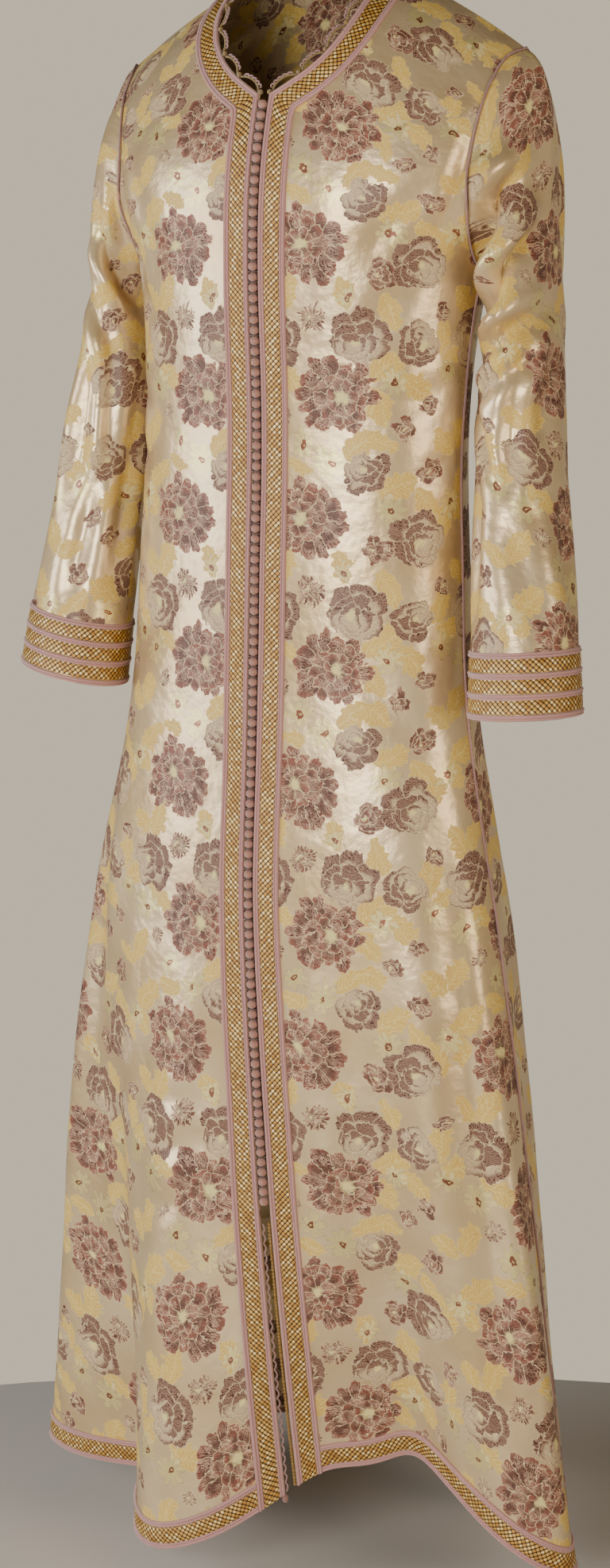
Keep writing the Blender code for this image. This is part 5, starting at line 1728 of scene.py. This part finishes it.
class KAFTAN_OT_neck_edging(bpy.types.Operator):
    """Crochets the scalloped edging round the neck: gold chain arches, rose picots and knots."""

    bl_idname = "kaftan.neck_edging"
    bl_label = "Neck edging"

    def execute(self, context):
        rows = 2 * HEM_PARTS + LOW_ROWS - 2 + V_ROW
        for name in SIDES:
            self.arches(name, *panels()[name].open_edge(slice(rows, None)))
        back = panels()["back"]
        part = slice(SHOULDER_COLUMNS, SHOULDER_COLUMNS + NECK_COLUMNS + 1)
        out = back.out[-1, part]
        off = unit(back.outer[-1, part] - back.outer[-1 - BAND_PARTS, part])
        self.arches("back", back.outer[-1, part] - out * CAD_WALL / 2, off, out)
        return {"FINISHED"}

    def arches(self, name, edge, off, out):
        """An arch reaches out by a root of a sine; its picots stand on it as five small arcs."""
        sizes, finish = bpy.context.scene.kaftan_sizes, finishes()
        lengths = run(edge)
        whole = lengths[-1] - 2 * EDGE_END
        count = max(round(whole / SCALLOP_PITCH), 1)
        pitch = whole / count
        starts = EDGE_END + pitch * np.arange(count)

        def at(places, values):
            """Values of the edge, read at lengths along it."""
            return np.stack([np.interp(places, lengths, values[:, k]) for k in range(3)], -1)

        def path_of(share, reach, width):
            """A path a scallop at these shares of its width and this reach off the edge."""
            places = starts[:, None] + pitch * (0.5 + (share - 0.5) * width)
            outs, offs = unit(at(places, out)), unit(at(places, off))
            return at(places, edge) + offs * reach[:, None] + outs * 0.4 * MM, outs

        share = np.linspace(0, 1, 49)
        arch = sizes.scallop_depth - 3.4 * MM
        reach = ARCH_FOOT + arch * np.sin(np.pi * share) ** 0.55
        path, outs = path_of(share, reach, 0.80)
        radius = CHAIN_RADIUS + CHAIN_SWELL * np.cos(2 * np.pi * share * CHAIN_STITCHES)
        chain = tubes(f"worked_neck_arches_{name}", frames_along(path, outs), radius, finish["chain"])
        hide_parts(f"neck_edging_{name}")
        inner = (share * 0.8) + 0.1
        picot = ARCH_FOOT + arch * np.sin(np.pi * inner) ** 0.55
        picot = picot + PICOT_BASE + PICOT_RISE * np.abs(np.sin(PICOTS * np.pi * share))
        path, outs = path_of(inner, picot, 0.92)
        rings = frames_along(path, outs)
        rose = tubes(f"worked_neck_picots_{name}", rings, PICOT_RADIUS, finish["cord"])
        # A firm little knot at each foot.
        feet = np.append(starts, starts[-1] + pitch)
        outs, offs = unit(at(feet, out)), unit(at(feet, off))
        lift = np.linspace(-0.4, 4.6, 9) * MM
        base = at(feet, edge)
        path = base[:, None] + offs[:, None] * lift[:, None] + outs[:, None] * 0.4 * MM
        radius = (0.9 + 1.5 * np.sin(np.pi * np.linspace(0, 1, 9)) ** 0.7) * MM
        rings = frames_along(path, np.broadcast_to(outs[:, None], path.shape))
        knots = tubes(f"worked_neck_knots_{name}", rings, radius, finish["chain"])


FLOOR_RADIUS, FLOOR_FORWARD, FLOOR_HEIGHT = 1.8, 1.35, -1.452
CAMERA_TURN, CAMERA_PITCH = np.radians((29, 9.5))  # round from centre front, and down
CAMERA_DISTANCE, CAMERA_HEIGHT, CAMERA_ASIDE, CAMERA_LENS = 2.7, -0.25, -0.018, 67.1
# Lights: degrees round from centre front, height, distance and size in metres, watts, colour.
Light = namedtuple("Light", "name turn height distance size power colour")
LIGHTS = (
    Light("window", -50, -0.35, 3.0, 1.7, 50, "#F3F4FB"),
    Light("front", 4, -0.15, 3.3, 1.6, 74, "#FBF8F4"),
    Light("fill", 74, -0.20, 3.2, 1.6, 34, "#FFEDDA"),
)
LIGHTS_AIM = (0, 0, -0.65)


class KAFTAN_OT_stage(bpy.types.Operator):
    """Lays a plain pale floor, and sets soft lights and the camera."""

    bl_idname = "kaftan.stage"
    bl_label = "Stage"

    def execute(self, context):
        scene = context.scene
        self.floor(scene)
        world = bpy.data.worlds.new("studio")
        world.use_nodes = True
        tree = world.node_tree
        background = tree.nodes["Background"]
        background.inputs[0].default_value = linear("#DACDB6")
        # A pale room, dimmer towards the ceiling, whose walls give less light than they show.
        way = add(tree, "SeparateXYZ", add(tree, "TexCoord").outputs["Generated"])
        strength = add(tree, "MapRange", way.outputs[2], 0.0, 0.55, 0.52, 0.05)
        seen = add(tree, "LightPath").outputs["Is Camera Ray"]
        strength = add(tree, "Mix", seen, None, strength, 0.98)
        tree.links.new(strength.outputs[0], background.inputs[1])
        scene.world = world
        for row in LIGHTS:
            data = bpy.data.lights.new(row.name, "AREA")
            data.shape, data.size, data.energy = "DISK", row.size, row.power
            data.color = linear(row.colour)[:3]
            light = bpy.data.objects.new(row.name, data)
            spot = self.spot(np.radians(row.turn), row.distance, row.height)
            light.matrix_world = self.aimed(spot, np.array(LIGHTS_AIM) - spot)
            scene.collection.objects.link(light)
        self.camera(scene)
        return {"FINISHED"}

    def spot(self, turn, distance, height):
        """The place at a turn round from centre front, a distance off and a height."""
        return np.array([np.sin(turn) * distance, -np.cos(turn) * distance, height])

    def aimed(self, spot, way):
        """A matrix at a spot whose -Z looks along a way and whose X stays level."""
        back = -unit(np.asarray(way, float))
        right = unit(np.cross([0, 0, 1], back))
        up = np.cross(back, right)
        matrix = Matrix.Identity(4)
        for row in range(3):
            matrix[row] = (right[row], up[row], back[row], spot[row])
        return matrix

    def floor(self, scene):
        """A round floor of even rings, set forward so that it ends a step behind the garment."""
        radius = FLOOR_RADIUS * np.linspace(0.05, 1, 24)[:, None]
        turn = 2 * np.pi * np.arange(64) / 64
        rings = np.stack([radius * np.cos(turn), radius * np.sin(turn), 0 * radius * turn], -1)
        points = (rings + self.spot(CAMERA_TURN, FLOOR_FORWARD, FLOOR_HEIGHT)).reshape(-1, 3)
        i, j = quads(24, 64, True)
        mesh = bpy.data.meshes.new("floor")
        faces = [list(map(int, face)) for face in i * 64 + j % 64] + [list(range(64))]
        mesh.from_pydata(points.tolist(), [], faces)
        made, tree, shader = new_material("painted_studio_floor", Roughness=0.7)
        grain = add(tree, "TexNoise", add(tree, "TexCoord").outputs["Object"], None, 9.0, 2.0)
        colour = add(tree, "MixRGB", grain, linear("#E2DDD4"), linear("#DCD7CE"))
        tree.links.new(colour.outputs[0], shader.inputs["Base Color"])
        mesh.materials.append(made)
        floor = bpy.data.objects.new("floor", mesh)
        scene.collection.objects.link(floor)
        floor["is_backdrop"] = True

    def camera(self, scene):
        """Sets the camera in front of the wearer's left, looking a little down."""
        right = np.array([np.cos(CAMERA_TURN), np.sin(CAMERA_TURN), 0])
        spot = self.spot(CAMERA_TURN, CAMERA_DISTANCE, CAMERA_HEIGHT) + right * CAMERA_ASIDE
        way = -self.spot(CAMERA_TURN, np.cos(CAMERA_PITCH), np.sin(CAMERA_PITCH))
        data = bpy.data.cameras.new("camera")
        data.sensor_fit, data.sensor_height, data.lens = "VERTICAL", 36, CAMERA_LENS
        camera = bpy.data.objects.new("camera", data)
        camera.matrix_world = self.aimed(spot, way)
        scene.collection.objects.link(camera)
        scene.camera = camera


# ---------------------------------------------------------------- panel and registration


OPERATORS = (
    KAFTAN_OT_stage,
    KAFTAN_OT_fronts,
    KAFTAN_OT_back,
    KAFTAN_OT_sleeves,
    KAFTAN_OT_seam_cords,
    KAFTAN_OT_buttons,
    KAFTAN_OT_slit,
    KAFTAN_OT_neck_edging,
)


class KAFTAN_PT_build(bpy.types.Panel):
    """Lists the sizes, the colours and the pieces of the kaftan."""

    bl_idname = "KAFTAN_PT_build"
    bl_label = "Moroccan kaftan"
    bl_space_type = "VIEW_3D"
    bl_region_type = "UI"
    bl_category = "Kaftan"

    def draw(self, context):
        for group in (context.scene.kaftan_sizes, context.scene.kaftan_colours):
            box = self.layout.box()
            for name in type(group).__annotations__:
                box.prop(group, name)
        for operator in OPERATORS:
            self.layout.operator(operator.bl_idname)


CLASSES = (KaftanSizes, KaftanColours, *OPERATORS, KAFTAN_PT_build)


def register():
    for each in CLASSES:
        bpy.utils.register_class(each)
    bpy.types.Scene.kaftan_sizes = PointerProperty(type=KaftanSizes)
    bpy.types.Scene.kaftan_colours = PointerProperty(type=KaftanColours)


def unregister():
    del bpy.types.Scene.kaftan_sizes
    del bpy.types.Scene.kaftan_colours
    for each in reversed(CLASSES):
        bpy.utils.unregister_class(each)


def main():
    register()
    for operator in OPERATORS:
        category, name = operator.bl_idname.split(".")
        getattr(getattr(bpy.ops, category), name)()
    boxes = {"cad": CAD_BOX, "visual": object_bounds()}
    boxes = {name: [list(corner) for corner in box] for name, box in boxes.items()}


if __name__ == "__main__":
    main()
